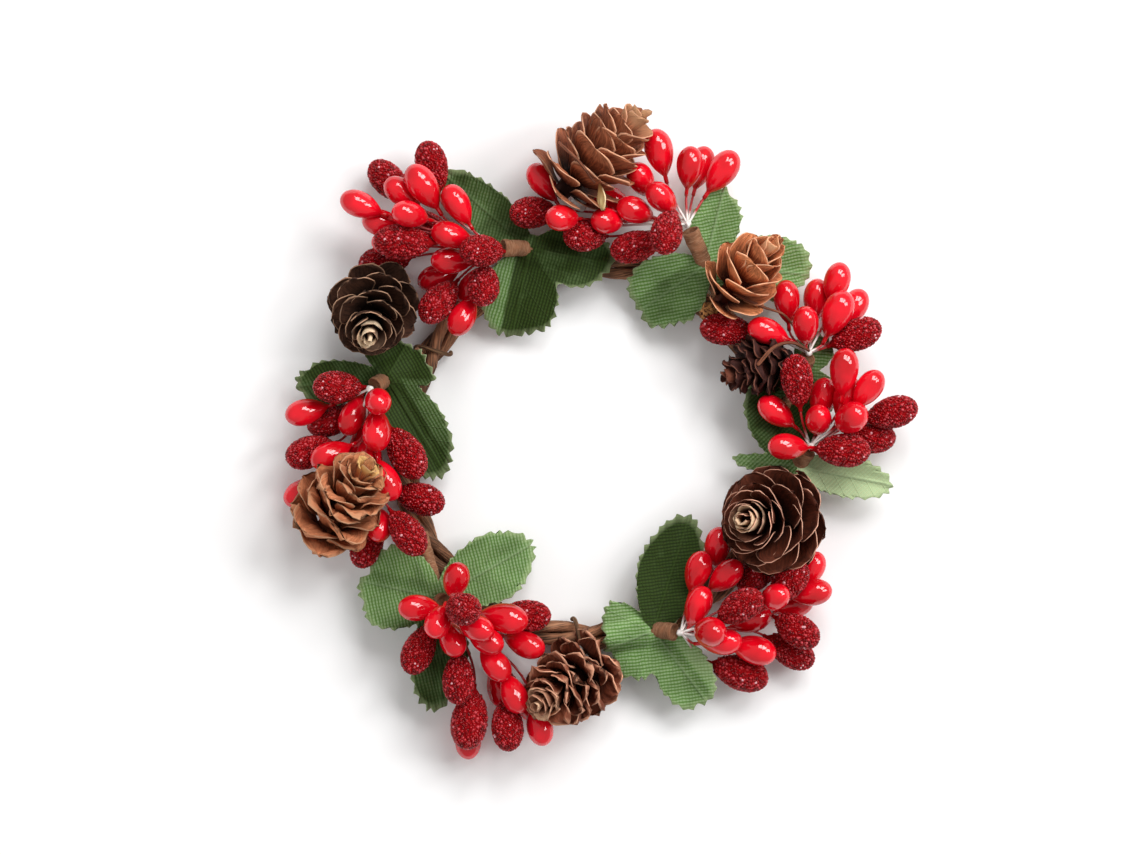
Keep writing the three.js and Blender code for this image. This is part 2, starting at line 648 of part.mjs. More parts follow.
PICKS.forEach((pick, index) => {
  const group = new THREE.Group();
  const number = index + 1;
  const stem = without(solidOf(stemGeometry(pick)), threadCutters[index]);
  addPiece(group, `stem_${number}`, geometryOf(stem), 'tape');

  const leaf = without(solidOf(leafGeometry(pick)), [
    ...vineCutters, ...stemCutters, ...threadCutters.flat(), ...headCutters.flat(), ...coneCutters,
  ]);
  addPiece(group, `leaf_${number}`, geometryOf(largest(leaf)), 'leaf');

  // The sugared spray gives way to the lacquered ones, whose heads only leave room for its threads.
  const [, sugaredThreads] = threadCutters[index];
  const otherThreads = threadCutters.filter((_, at) => at !== index).flat();
  const lacquered = without(headSolids(pick, GLOSSY), [sugaredThreads, ...otherThreads])
    .add(threadSolids(pick, GLOSSY));
  addPiece(group, `glossy_berries_${number}`, geometryOf(largest(lacquered)), 'lacquer');

  const sugared = without(headSolids(pick, FROSTED), headCutters.map(([heads]) => heads))
    .add(threadSolids(pick, FROSTED));
  const givenWay = without(sugared, [threadCutters[index][0], ...otherThreads]);
  addPiece(group, `frosted_berries_${number}`, geometryOf(largest(givenWay)), 'sugar');
  wreath.add(group);
});

CONES.forEach(({ at, glue }, index) => {
  const harder = [...vineCutters, ...stemCutters, ...threadCutters.flat(), ...headCutters.flat()];
  const solid = largest(without(coneSolid(at), harder));
  addPiece(wreath, `cone_${index + 1}`, geometryOf(solid), 'cone');
  const dab = solidOf(welded(new THREE.IcosahedronGeometry(GLUE_RADIUS)).translate(...glue));
  const kept = largest(without(dab, [...harder, ...coneCutters, ...leafCutters]));
  addPiece(wreath, `cone_glue_${index + 1}`, geometryOf(kept), 'glue');
});

// The frame's origin is the middle of the underside of the whole wreath.
const box = new THREE.Box3().setFromObject(wreath);
const middle = box.getCenter(new THREE.Vector3());
wreath.position.set(-middle.x, -middle.y, -box.min.z);

export default wreath;
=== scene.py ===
"""Looks of a pinecone wreath: bark, tape, woven leaves, lacquered and sugared berries, cones.

The wreath lies flat. Lengths are in millimetres from the middle of the vine ring until a piece is
finished, and then in metres in the frame. The tables of picks and cones are those of the part.
"""
import math
import random
from bisect import bisect_right
from collections import namedtuple
from functools import partial
from itertools import accumulate, cycle, pairwise

import bmesh
import bpy
from bpy.props import FloatProperty, FloatVectorProperty, IntProperty, PointerProperty
from mathutils import Matrix, Vector, noise
from mathutils.bvhtree import BVHTree


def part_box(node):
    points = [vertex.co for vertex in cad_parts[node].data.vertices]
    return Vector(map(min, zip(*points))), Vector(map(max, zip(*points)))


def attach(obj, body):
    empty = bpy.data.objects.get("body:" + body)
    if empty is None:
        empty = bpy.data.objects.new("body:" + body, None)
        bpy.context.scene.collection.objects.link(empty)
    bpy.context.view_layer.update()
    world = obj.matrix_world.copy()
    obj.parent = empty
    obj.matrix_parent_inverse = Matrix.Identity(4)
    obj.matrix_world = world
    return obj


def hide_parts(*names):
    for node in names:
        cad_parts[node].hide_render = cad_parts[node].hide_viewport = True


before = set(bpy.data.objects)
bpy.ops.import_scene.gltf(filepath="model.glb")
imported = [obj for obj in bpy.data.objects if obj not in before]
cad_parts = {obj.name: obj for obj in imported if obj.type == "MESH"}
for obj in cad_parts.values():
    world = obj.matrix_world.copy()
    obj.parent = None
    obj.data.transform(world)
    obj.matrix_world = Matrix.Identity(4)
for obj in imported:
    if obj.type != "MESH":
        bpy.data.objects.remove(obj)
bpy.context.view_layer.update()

bl_info = {
    "name": "Pinecone Wreath",
    "version": (1, 0, 0),
    "blender": (4, 5, 0),
    "location": "View3D > Sidebar > Wreath",
    "description": "Builds the pieces of a wreath of vine, leaves, berries and cones",
    "category": "Object",
}

MM = 0.001
TURN = 2 * math.pi
GOLDEN_ANGLE = math.radians(137.5)
UP = Vector((0, 0, 1))
BODY = "root"

# The sizes down to the tables are those of the part. First the gap between a berry or cone and
# what it rests on.
BERRY_GAP = 0.35

# Vine ring: strands twisted round one circle.
RING_RADIUS = 52
STRAND_RADIUS = 1.6
STRAND_SPREAD = 2.2
VINE_RADIUS = STRAND_SPREAD + STRAND_RADIUS
VINE_TOP = 2 * VINE_RADIUS
# How far the lowest facet of the part's strands stays above a true circle's bottom.
FRAME_DROP = 0.11

# Taped stems, and the knots of thread over their mouths.
STEM_RADII = (3.2, 2.5, 2.1, 1.7, 1.7)
STEM_TAIL_HEIGHT = VINE_TOP + STEM_RADII[-1] + 0.3
STEM_LANDING = 0.4
STEM_LANDING_LIFT = 0.4
STEM_BALLS = 6
KNOT_HEIGHT = 15.5
KNOT_TO_MOUTH = 1.9

# Leaves, and the spots of each lobe that berries rest on, as shares of its reach and width.
LEAF_HEIGHT = 11
LEAF_THICKNESS = 0.5
LOBE_SKEW = 1.15
LOBE_FULLNESS = 0.45
REST_REACHES = (0.3, 0.55, 0.8)
REST_SIDES = (-0.3, 0, 0.3)

# What stands in for a berry or cone when it is stacked: balls as (distance along axis, radius).
GLOSSY = ((1.8, 3.15), (-1.5, 3.15), (-5.2, 1.7))
FROSTED = ((2.8, 3.9), (-1, 4.2), (-5, 2.7))
CONE = ((-6, 7), (0, 8.5), (6, 6.5))

# One berry or cone: its kind, where its middle is seen from above, the height it hangs at when
# nothing is under it, where its tip points (yaw in the XY plane, pitch above it) and its relative
# size.
Hung = namedtuple("Hung", "kind x y lift yaw pitch size", defaults=(1,))
glossy, frosted, cone = (partial(Hung, kind) for kind in (GLOSSY, FROSTED, CONE))
# One lobe of a leaf: bearing of its midrib, reach, width, how far its tip lies above the leaf's
# middle and its left edge above its right edge, how dark it is (partly the cloth's own tone, partly
# painted shade, and below zero painted light), and how much paler its left side (or, below zero,
# its right side) is painted, as light falling on that half.
Lobe = namedtuple("Lobe", "bearing reach width rise roll shade pale", defaults=(0,))
Pick = namedtuple("Pick", "knot leaf tail lobes berries")

# The picks, clockwise from the upper left. Berries are listed from the lowest to the topmost.
PICKS = (
    Pick(
        knot=(-26, 56), leaf=(-16.8, 56), tail=(-5, 53.5),
        lobes=(Lobe(139, 31, 14, -2, 1, 0.85), Lobe(258, 26, 22, -5, 0, 1.1, -0.65),
               Lobe(350, 24, 18, -3, 0, 1)),
        berries=(
            frosted(-57.5, 52.5, 7, 190, 0), frosted(-45.5, 62, 7, 160, 10),
            glossy(-43, 48, 8, 200, 0),
            glossy(-55.5, 57.5, 9, 175, 0), frosted(-56, 75, 8, 135, 0),
            glossy(-33, 45, 8, 240, 0), glossy(-35.5, 36.5, 10, 240, 15),
            frosted(-42, 41, 13, 230, 20), frosted(-44, 79, 12, 104, 10),
            glossy(-58, 63, 12, 168, 0), frosted(-52, 57.5, 15, 178, 5, 1.1),
            glossy(-64, 68, 14, 158, 5), frosted(-29.5, 45.5, 16, 265, 50),
            glossy(-52.5, 71.5, 18, 141, 15), glossy(-46.5, 73.5, 20, 123, 10, 1.15),
            glossy(-50, 65, 22, 166, 40), glossy(-39, 52.5, 17, 180, 15),
            glossy(-39, 59.5, 21, 164, 20), glossy(-37, 68.5, 22, 121, 10),
            frosted(-30, 55, 20, 180, 45),
        ),
    ),
    Pick(
        knot=(27, 62.5), leaf=(32, 51.5), tail=(38.5, 37),
        lobes=(Lobe(76, 22, 15, 1, 0, 0.25), Lobe(215, 23, 21, -4, 0, 0.6, -0.3),
               Lobe(355, 29, 19, -1, 0, 0.2)),
        berries=(
            glossy(31, 79.5, 8, 75, 0), glossy(6, 69.5, 8, 150, 0),
            frosted(-1.5, 59.5, 12, 180, 45), frosted(-16, 66, 9, 185, 35),
            glossy(-8, 64, 12, 180, 50), glossy(-13.5, 75, 8, 125, 10),
            glossy(14, 75.5, 13, 120, 40), glossy(4.5, 63.5, 16, 180, 50),
            frosted(12.5, 56.5, 14, 195, 10), glossy(12, 66.5, 18, 160, 35),
            glossy(19, 83.5, 14, 104, 10, 1.1), glossy(37, 78, 14, 56, 10, 1.1),
            glossy(27.5, 79, 18, 84, 20), glossy(19.5, 70, 20, 135, 40),
            frosted(21, 60, 18, 260, 40),
        ),
    ),
    Pick(
        knot=(60.5, 27), leaf=(59, 22), tail=(53.5, 11),
        lobes=(Lobe(60, 13, 12, 1, 0, 0.6), Lobe(190, 16, 14, -2, 0, 0.7),
               Lobe(300, 14, 13, -2, 0, 0.7)),
        berries=(
            frosted(37.5, 33.5, 10, 175, 0), glossy(63, 42.5, 9, 85, 10),
            glossy(73.5, 40, 9, 60, 0), glossy(54.5, 42, 12, 95, 10),
            glossy(68.5, 47, 12, 75, 10), glossy(48.5, 33, 14, 160, 15),
            frosted(74, 32, 12, 22, 5), glossy(68.5, 38.5, 17, 66, 15, 1.15),
            glossy(59.5, 35, 20, 92, 35),
        ),
    ),
    Pick(
        knot=(61, 1), leaf=(57.5, -4.5), tail=(53, -11),
        lobes=(Lobe(107, 29, 20, 1.5, -1, 1), Lobe(174, 18, 5, 0, 5, 0.7),
               Lobe(349, 27, 13, 1, 5, -0.9)),
        berries=(
            glossy(64.5, 15, 8, 80, 15), glossy(71, 15.5, 10, 70, 10),
            frosted(78, 3.5, 8, 0, 5), frosted(84, 10.5, 11, 15, 5),
            glossy(77, 17.5, 14, 55, 15), glossy(70, 22.5, 16, 85, 15, 1.1),
            frosted(57, 19.5, 20, 97, 10), glossy(51, 11, 16, 142, 10),
            frosted(70, 0, 14, 358, 15, 1.05), glossy(54, 1, 17, 178, 25),
            glossy(72, 9, 20, 40, 60, 1.15), glossy(63, 8.5, 20, 90, 60),
        ),
    ),
    Pick(
        knot=(25, -50.5), leaf=(17.5, -50), tail=(5, -52.5),
        lobes=(Lobe(72, 32, 19, -4, 0, 1.25, 0.2), Lobe(203, 14.5, 24, -4, 0, 0.15, -0.15),
               Lobe(307, 27, 15.5, -2, 1, 0.35, 0.5)),
        berries=(
            frosted(46.5, -34, 7, 50, 10),
            glossy(35.5, -26.5, 9, 80, 10), glossy(45.5, -47, 8, 20, 0),
            frosted(56, -56, 8, 330, 0), glossy(57, -43, 6, 10, 0),
            glossy(61.5, -33, 9, 60, 15), glossy(62, -39.5, 9, 10, 15),
            frosted(42, -62, 9, 342, 5, 1.1), glossy(30, -33, 13, 72, 15),
            frosted(55, -36.5, 12, 50, 20), glossy(38, -34.5, 15, 42, 20),
            frosted(57.5, -50, 12, 330, 30), glossy(30, -42.5, 18, 68, 15),
            glossy(46, -55.5, 15, 345, 15, 1.1), glossy(51, -40.5, 20, 35, 60),
            frosted(41.5, -43, 20, 30, 25), glossy(37, -53, 18, 5, 25),
            glossy(33, -50, 21, 0, 70, 1.15),
        ),
    ),
    Pick(
        knot=(-40, -43), leaf=(-42, -41), tail=(-47, -23),
        lobes=(Lobe(168, 22, 25, -3, 0, 0.4, -0.2), Lobe(30, 30, 19, -4, 0, 0.32),
               Lobe(271, 32, 17, -3, -1, 0.85)),
        berries=(
            glossy(-25, -67, 7, 290, 10), glossy(-17, -71, 6, 300, 10),
            glossy(-34, -81, 6, 270, 0), frosted(-18, -46, 13, 0, 0),
            glossy(-17.5, -54, 12, 340, 15), glossy(-14, -77, 8, 285, 10),
            frosted(-23, -76.5, 10, 275, 15), frosted(-33.5, -75, 10, 262, 10, 1.15),
            glossy(-21, -68, 13, 295, 20), frosted(-36.5, -63.5, 13, 270, 20),
            frosted(-47.5, -55.5, 12, 245, 15), glossy(-26, -59.5, 15, 310, 25),
            glossy(-23, -46.5, 17, 350, 15, 1.15), glossy(-28.5, -52.5, 17, 330, 30),
            glossy(-48, -43.5, 16, 180, 25), glossy(-37, -35.5, 17, 75, 40),
            glossy(-38, -52.5, 20, 290, 35), glossy(-42, -47.5, 20, 250, 50),
            glossy(-31, -49, 18, 340, 40), frosted(-35, -43.5, 20, 0, 65),
        ),
    ),
    Pick(
        knot=(-61, 17), leaf=(-56.5, 20), tail=(-47, 27.5),
        lobes=(Lobe(185, 28, 12.5, -1, 2, 0.95), Lobe(60, 11.5, 24, 2, 0, 1.1),
               Lobe(301, 33, 18, -3, 0, 1.05, 0.3)),
        berries=(
            glossy(-80.5, -12, 8, 210, 0), frosted(-72, 8.5, 8, 200, 0),
            glossy(-63.5, 1, 8, 260, 0), frosted(-62, -26, 9, 250, 0),
            glossy(-66, 9, 12, 247, 15), frosted(-78, -0.5, 9, 200, 25),
            glossy(-72.5, -1.5, 12, 205, 15), glossy(-79.5, 10.5, 12, 195, 10),
            glossy(-61.5, -2, 14, 260, 20), glossy(-58.5, -21, 12, 270, 50),
            frosted(-50.5, -23, 13, 307, 15), frosted(-47, -13.5, 14, 345, 20),
            frosted(-51, -1, 16, 302, 15, 1.1), glossy(-56, -9, 17, 293, 10),
            frosted(-70, 17.5, 16, 180, 30), glossy(-59, 5, 20, 270, 30, 1.1),
            glossy(-58.5, 13.5, 20, 300, 75),
        ),
    ),
)

# The cones, each after the pick it leans on, with the glue that holds it and how it has aged.
ConeSpot = namedtuple("ConeSpot", "after at glue age")
CONES = (
    ConeSpot(1, cone(1.5, 81, 13.5, 45, 15, 1.1), (-3, 69, 10), "closed"),
    ConeSpot(2, cone(42.5, 48.5, 13.5, 48, 40, 0.95), (44, 41, 10), "russet"),
    ConeSpot(4, cone(49.5, -19.5, 13.5, 175, 62, 1.15), (50, -19, 10), "dark"),
    ConeSpot(5, cone(-5.5, -64.5, 13.5, 212, 45), (-4, -57, 10), "brown"),
    ConeSpot(6, cone(-68.5, -14.5, 13.5, 54, 40, 1.05), (-62, -14, 10), "fresh"),
    ConeSpot(0, cone(-60.5, 38, 17, 270, 60), (-53.5, 34, 9), "sooty"),
    ConeSpot(1, cone(47, 23.5, 10, 200, 10, 0.7), (48, 24, 9), "husk"),
)


def lerp(start, end, share):
    return start + (end - start) * share


def smooth(share):
    share = min(max(share, 0), 1)
    return share * share * (3 - 2 * share)


def table_value(values, share):
    """The value at a share of the way through a row of evenly spaced values."""
    spot = share * (len(values) - 1)
    index = min(int(spot), len(values) - 2)
    return lerp(values[index], values[index + 1], spot - index)


def totals_of(steps):
    """The running total before each step, and after the last."""
    return list(accumulate(steps, initial=0))


def spot_in(totals, target):
    """Which step of some running totals a target lies in, and at what share of it."""
    index = min(bisect_right(totals, target), len(totals) - 1) - 1
    return index, (target - totals[index]) / (totals[index + 1] - totals[index])


def rough(x, y, z):
    return noise.noise(Vector((x, y, z)))


def srgb(red, green, blue):
    """A colour as read off a screen, turned to the linear one that materials use."""
    def linear(value):
        value /= 255
        return value / 12.92 if value <= 0.04045 else ((value + 0.055) / 1.055) ** 2.4
    return linear(red), linear(green), linear(blue)


def direction(yaw, pitch):
    turn, lean = math.radians(yaw), math.radians(pitch)
    return Vector((math.cos(lean) * math.cos(turn), math.cos(lean) * math.sin(turn), math.sin(lean)))


# Curves and stacking

# Steps in which the length of a curve is measured.
FINE_STEPS = 200


def through(points, share):
    """A point of the centripetal Catmull-Rom curve through the given points."""
    spot = share * (len(points) - 1)
    index = min(int(spot), len(points) - 2)
    w = spot - index
    p1, p2 = points[index], points[index + 1]
    p0 = points[index - 1] if index else p1 * 2 - p2
    p3 = points[index + 2] if index + 2 < len(points) else p2 * 2 - p1
    d0, d1, d2 = (math.sqrt((b - a).length) for a, b in ((p0, p1), (p1, p2), (p2, p3)))
    m1 = ((p1 - p0) / d0 - (p2 - p0) / (d0 + d1) + (p2 - p1) / d1) * d1
    m2 = ((p2 - p1) / d1 - (p3 - p1) / (d1 + d2) + (p3 - p2) / d2) * d1
    return p1 + m1 * w + (p2 * 3 - p1 * 3 - m1 * 2 - m2) * w**2 + (p1 * 2 - p2 * 2 + m1 + m2) * w**3


def evenly(points, count):
    """Points at even distances along the curve through the given points."""
    fine = [through(points, step / FINE_STEPS) for step in range(FINE_STEPS + 1)]
    totals = totals_of((b - a).length for a, b in pairwise(fine))
    found = []
    for step in range(count):
        index, share = spot_in(totals, totals[-1] * step / (count - 1))
        found.append(fine[index].lerp(fine[index + 1], share))
    return found


def stem_route(pick):
    leaf, tail = Vector((*pick.leaf, LEAF_HEIGHT)), Vector((*pick.tail, STEM_TAIL_HEIGHT))
    knot = Vector((*pick.knot, KNOT_HEIGHT))
    mouth = knot + (leaf - knot).normalized() * KNOT_TO_MOUTH
    landing = leaf.lerp(tail, STEM_LANDING)
    landing.z = STEM_TAIL_HEIGHT + STEM_LANDING_LIFT
    return [mouth, leaf, landing, tail]


def stem_balls(pick):
    return [(spot, lerp(STEM_RADII[0], STEM_RADII[-1], n / (STEM_BALLS - 1)))
            for n, spot in enumerate(evenly(stem_route(pick), STEM_BALLS))]


def lobe_profile(share):
    """Half the width of a lobe at a share of its reach, as a share of its greatest width."""
    return 0.5 * math.sin(math.pi * min(share, 1) ** LOBE_SKEW) ** LOBE_FULLNESS


def lobe_point(pick, lobe, share, side):
    c, s = math.cos(math.radians(lobe.bearing)), math.sin(math.radians(lobe.bearing))
    along, across = share * lobe.reach, side * lobe.width
    return pick.leaf[0] + along * c - across * s, pick.leaf[1] + along * s + across * c


def lobe_place(pick, lobe, x, y):
    """How far a point lies along a lobe's midrib and to the left of it, in millimetres."""
    dx, dy = x - pick.leaf[0], y - pick.leaf[1]
    c, s = math.cos(math.radians(lobe.bearing)), math.sin(math.radians(lobe.bearing))
    return dx * c + dy * s, dy * c - dx * s


def lobe_height(lobe, along, across):
    along = max(along / lobe.reach, 0)
    across = min(max(across / lobe.width, -0.5), 0.5)
    return along * (lobe.rise * along + lobe.roll * across)


def leaf_balls(pick):
    balls = []
    for lobe in pick.lobes:
        for share in REST_REACHES:
            for side in REST_SIDES:
                x, y = lobe_point(pick, lobe, share, side)
                nearest = max(pick.lobes, key=lambda other: lobe_place(pick, other, x, y)[0])
                height = LEAF_HEIGHT + lobe_height(nearest, *lobe_place(pick, nearest, x, y))
                balls.append((Vector((x, y, height)), LEAF_THICKNESS))
    return balls


def height_on_vine(x, y, radius):
    offset = abs(math.hypot(x, y) - RING_RADIUS)
    reach = VINE_RADIUS + radius + BERRY_GAP
    return VINE_RADIUS + math.sqrt(reach**2 - offset**2) if offset < reach else 0


def lowered(item, laid):
    """The middle and axis of a berry or cone once it lies on the vine or on what was laid."""
    axis = direction(item.yaw, item.pitch)
    balls = [(Vector((item.x, item.y, 0)) + axis * along * item.size, radius * item.size)
             for along, radius in item.kind]
    height = item.lift
    for spot, radius in balls:
        height = max(height, height_on_vine(spot.x, spot.y, radius) - spot.z)
        for other, other_radius in laid:
            reach = radius + other_radius + BERRY_GAP
            apart = math.hypot(spot.x - other.x, spot.y - other.y)
            if apart < reach:
                height = max(height, other.z + math.sqrt(reach**2 - apart**2) - spot.z)
    laid.extend((spot + UP * height, radius) for spot, radius in balls)
    return Vector((item.x, item.y, height)), axis


def lay_wreath():
    """Where every berry and cone comes to lie, by the entry of its table."""
    laid = [ball for pick in PICKS for ball in (*stem_balls(pick), *leaf_balls(pick))]
    places = {}
    for number, pick in enumerate(PICKS):
        leaning = [spot.at for spot in CONES if spot.after == number]
        for item in (*pick.berries, *leaning):
            places[item] = lowered(item, laid)
    return places


PLACES = lay_wreath()


# Meshes

# Corners nearer than this are welded.
WELD = 1e-4
# Share of a curve over which its direction is taken.
TANGENT_STEP = 0.004
# A rod steeper than this needs another reference than straight up.
STEEP = 0.85
# Beyond this share of a grid there is only its last row.
LAST_ROW = 0.99


def grid(columns, rows, place, marks=(), values=None):
    """A sheet of quads with a UV map, its corners moved to place(u, v) and marked values(u, v)."""
    bm = bmesh.new()
    bm.loops.layers.uv.new("UVMap")
    layers = [bm.verts.layers.float.new(name) for name in marks]
    bmesh.ops.create_grid(bm, x_segments=columns, y_segments=rows, size=0.5, calc_uvs=True)
    for vert in bm.verts:
        u, v = vert.co.x + 0.5, vert.co.y + 0.5
        if marks:
            for layer, value in zip(layers, values(u, v)):
                vert[layer] = value
        vert.co = place(u, v)
    return bm


def welded(bm):
    bmesh.ops.remove_doubles(bm, verts=bm.verts, dist=WELD)
    bmesh.ops.recalc_face_normals(bm, faces=bm.faces)
    return bm


def across_frames(curve, share, reference):
    """Two directions square to a curve at a share of its way."""
    ahead, behind = min(share + TANGENT_STEP, 1), max(share - TANGENT_STEP, 0)
    tangent = (curve(ahead) - curve(behind)).normalized()
    side = tangent.cross(reference).normalized()
    return side, side.cross(tangent)


def rod(curve, stations, sides, skin=None, **marks):
    """A round rod on a curve through (share, radius) stations; skin(u, share) adds to a radius."""
    chord = (curve(1) - curve(0)).normalized()
    reference = UP if abs(chord.z) < STEEP else Vector((1, 0, 0))
    rows = len(stations) - 1
    frames = [across_frames(curve, share, reference) for share, _ in stations]

    def place(u, v):
        index = round(v * rows)
        share, radius = stations[index]
        side, over = frames[index]
        if radius and skin:
            radius += skin(u % 1, share)
        turn = u * TURN
        return curve(share) + (side * math.cos(turn) + over * math.sin(turn)) * radius

    return welded(grid(sides, rows, place, **marks))


def capped(rows, radius_at):
    """Stations of a rod with closed ends and the radius_at(share) of its way."""
    return [(0, 0), *((n / rows, radius_at(n / rows)) for n in range(rows + 1)), (1, 0)]


def lathed(outline, steps, mark="along"):
    """A round body with the given (along Y, radius) outline. The mark is the share of its length."""
    bm = bmesh.new()
    layer = bm.verts.layers.float.new(mark)
    low, high = outline[0][0], outline[-1][0]
    verts = [bm.verts.new((radius, along, 0)) for along, radius in outline]
    for vert in verts:
        vert[layer] = (vert.co.y - low) / (high - low)
    edges = [bm.edges.new(pair) for pair in pairwise(verts)]
    bmesh.ops.spin(bm, geom=verts + edges, cent=(0, 0, 0), axis=(0, 1, 0), angle=TURN,
                   steps=steps, use_merge=True)
    return welded(bm)


def lump(radius, subdivisions, uneven, waves, shift=0):
    """A ball with a radius that is uneven by a share of itself."""
    bm = bmesh.new()
    bmesh.ops.create_icosphere(bm, subdivisions=subdivisions, radius=radius)
    for vert in bm.verts:
        vert.co *= 1 + uneven * noise.noise(vert.co * waves + Vector((shift, 0, 0)))
    return bm


def as_mesh(bm):
    mesh = bpy.data.meshes.new("shape")
    bm.to_mesh(mesh)
    bm.free()
    return mesh


def gathered(meshes):
    """One bmesh of several meshes, which are used up."""
    whole = bmesh.new()
    for mesh in meshes:
        whole.from_mesh(mesh)
        bpy.data.meshes.remove(mesh)
    return whole


def copies(meshes, matrices):
    """One bmesh with a copy at each matrix of the meshes in turn."""
    def copy(mesh, matrix):
        mesh = mesh.copy()
        mesh.transform(matrix)
        return mesh
    return gathered(map(copy, cycle(meshes), matrices))


def aimed(middle, axis, size=1):
    """The matrix that moves a shape made along Y to a middle and an axis."""
    turn = Vector((0, 1, 0)).rotation_difference(axis).to_matrix().to_4x4()
    return Matrix.Translation(middle) @ turn @ Matrix.Scale(size, 4)


def ring_matrix():
    low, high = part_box("vine_strand_1")
    middle = (low + high) / 2
    return Matrix.Translation((middle.x, middle.y, -FRAME_DROP * MM)) @ Matrix.Scale(MM, 4)


TO_FRAME = ring_matrix()


def finished(name, bm, materials, node=None):
    """A named piece of a bmesh in ring millimetres, placed in the frame."""
    bmesh.ops.transform(bm, matrix=TO_FRAME, verts=bm.verts)
    for face in bm.faces:
        face.smooth = True
    mesh = as_mesh(bm)
    mesh.name = name
    for material in materials:
        mesh.materials.append(material)
    piece = bpy.data.objects.new(name, mesh)
    bpy.context.scene.collection.objects.link(piece)
    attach(piece, BODY)
    if node:
        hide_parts(node)
    return piece


# Materials

BLACK = (0, 0, 0)
GROOVE_SHADOW = (0.045, 0.028, 0.018)
WORN_BARK = srgb(228, 170, 132)
WORN_TAPE = srgb(198, 160, 126)
# Pale green painted on a lobe as light falling on it.
PAINTED_LIGHT_CLOTH = srgb(190, 206, 158)
# Rib greens: painted on the weave's ribs as a highlight, the darker one on lobes painted in shade;
# the midrib and veins take them too.
PALE_CLOTH = srgb(166, 190, 146)
DARK_PALE_CLOTH = srgb(56, 76, 31)
FRAYED_CLOTH = srgb(164, 180, 132)
EDGE_FIBRES = (srgb(104, 128, 76), srgb(206, 214, 180))
VEIN_PITCH = 4.6
WHITE_GLINT = (0.9, 0.75, 0.8)
COTTON = (srgb(214, 206, 200), srgb(246, 243, 238))
DIPPED_COTTON = srgb(170, 12, 22)
STALK_WOOD = (srgb(66, 34, 18), srgb(206, 146, 88))
GLUE_CLOUDS = (srgb(196, 190, 182), srgb(236, 234, 230))


class Finish:
    """A Principled material, with short calls for the nodes that feed it."""

    def __init__(self, name, **values):
        self.material = bpy.data.materials.new(name)
        self.material.use_nodes = True
        self.tree = self.material.node_tree
        self.shader = self.tree.nodes["Principled BSDF"]
        self.use(**values)

    def feed(self, socket, value):
        if isinstance(value, bpy.types.NodeSocket):
            self.tree.links.new(value, socket)
        elif socket.type == "RGBA":
            socket.default_value = (*value, 1)
        else:
            socket.default_value = value

    def node(self, kind, inputs=None, out=0, **settings):
        made = self.tree.nodes.new("ShaderNode" + kind)
        for key, value in settings.items():
            setattr(made, key, value)
        for key, value in (inputs or {}).items():
            self.feed(made.inputs[key], value)
        return made.outputs[out]

    def millimetres(self):
        """Object coordinates in millimetres."""
        place = self.node("TexCoord", out="Object")
        return self.node("Mapping", {"Vector": place, "Scale": [1 / MM] * 3})

    def uv(self, scale):
        return self.node("Mapping", {"Vector": self.node("TexCoord", out="UV"), "Scale": scale})

    def mark(self, name):
        return self.node("Attribute", out="Fac", attribute_name=name)

    def noise(self, place, scale, detail=3, roughness=0.5, distortion=0):
        return self.node("TexNoise", {"Vector": place, "Scale": scale, "Detail": detail,
                                      "Roughness": roughness, "Distortion": distortion})

    def stretch(self, value, low, high, to_low=0.0, to_high=1.0):
        return self.node("MapRange", {"Value": value, "From Min": low, "From Max": high,
                                      "To Min": to_low, "To Max": to_high})

    def math(self, operation, a, b=0.0):
        return self.node("Math", {0: a, 1: b}, operation=operation)

    def wave(self, value, turn):
        return self.math("SINE", self.math("MULTIPLY", value, turn))

    def blend(self, share, a, b):
        return self.node("Mix", {0: share, 6: a, 7: b}, out=2, data_type="RGBA")

    def ramp(self, value, low, high, a, b, most=1.0):
        """Colour a where the value is low, and up to the given share of colour b where high."""
        return self.blend(self.stretch(value, low, high, 0.0, most), a, b)

    def fade(self, value, low, high, a, b, most=1.0):
        """The given share of colour b where the value is low, and colour a where high."""
        return self.blend(self.stretch(value, low, high, most, 0.0), a, b)

    def bump(self, height, distance, strength=1.0, normal=None):
        """Relief of the height, whose full range stands for a distance in millimetres."""
        inputs = {"Height": height, "Distance": distance * MM, "Strength": strength}
        if normal:
            inputs["Normal"] = normal
        return self.node("Bump", inputs)

    def use(self, **sockets):
        for key, value in sockets.items():
            self.feed(self.shader.inputs[key.replace("_", " ")], value)
        return self.material


def darker(colour, share):
    return [channel * share for channel in colour]


def bark_finish(name, dark, light, size):
    """Dry bark with fibres along V; size is (round, along) in millimetres."""
    f = Finish(name, Roughness=0.82, Specular_IOR_Level=0.25)
    fibres = f.noise(f.uv((size[0] * 2.2, size[1] * 0.14, 1)), 1.0, 4, 0.6, 0.4)
    strips = f.noise(f.uv((size[0] * 0.6, size[1] * 0.05, 1)), 1.0, 3, 0.6, 0.8)
    patches = f.noise(f.millimetres(), 0.12, 4)
    base = f.ramp(patches, 0.35, 0.65, dark, light)
    # Where the fibre noise is low the bark is painted dark, as shade in the grooves between fibres.
    streaked = f.ramp(fibres, 0.35, 0.7, GROOVE_SHADOW, base)
    worn = f.ramp(strips, 0.55, 0.75, streaked, WORN_BARK, most=0.6)
    relief = f.bump(fibres, 0.5, 0.9, f.bump(strips, 0.6, 0.6))
    return f.use(Base_Color=worn, Normal=relief)


def tape_finish(colour):
    """Crepe paper tape wound at a slant, with fine wrinkles."""
    f = Finish("crepe_tape", Roughness=0.78, Specular_IOR_Level=0.3)
    wrinkles = f.noise(f.uv((6, 90, 1)), 1.0, 3, 0.6, 0.5)
    blotches = f.noise(f.millimetres(), 0.35, 3)
    base = f.ramp(blotches, 0.3, 0.7, darker(colour, 0.55), colour)
    worn = f.ramp(wrinkles, 0.45, 0.75, base, WORN_TAPE, most=0.5)
    return f.use(Base_Color=worn, Normal=f.bump(wrinkles, 0.35, 0.8))


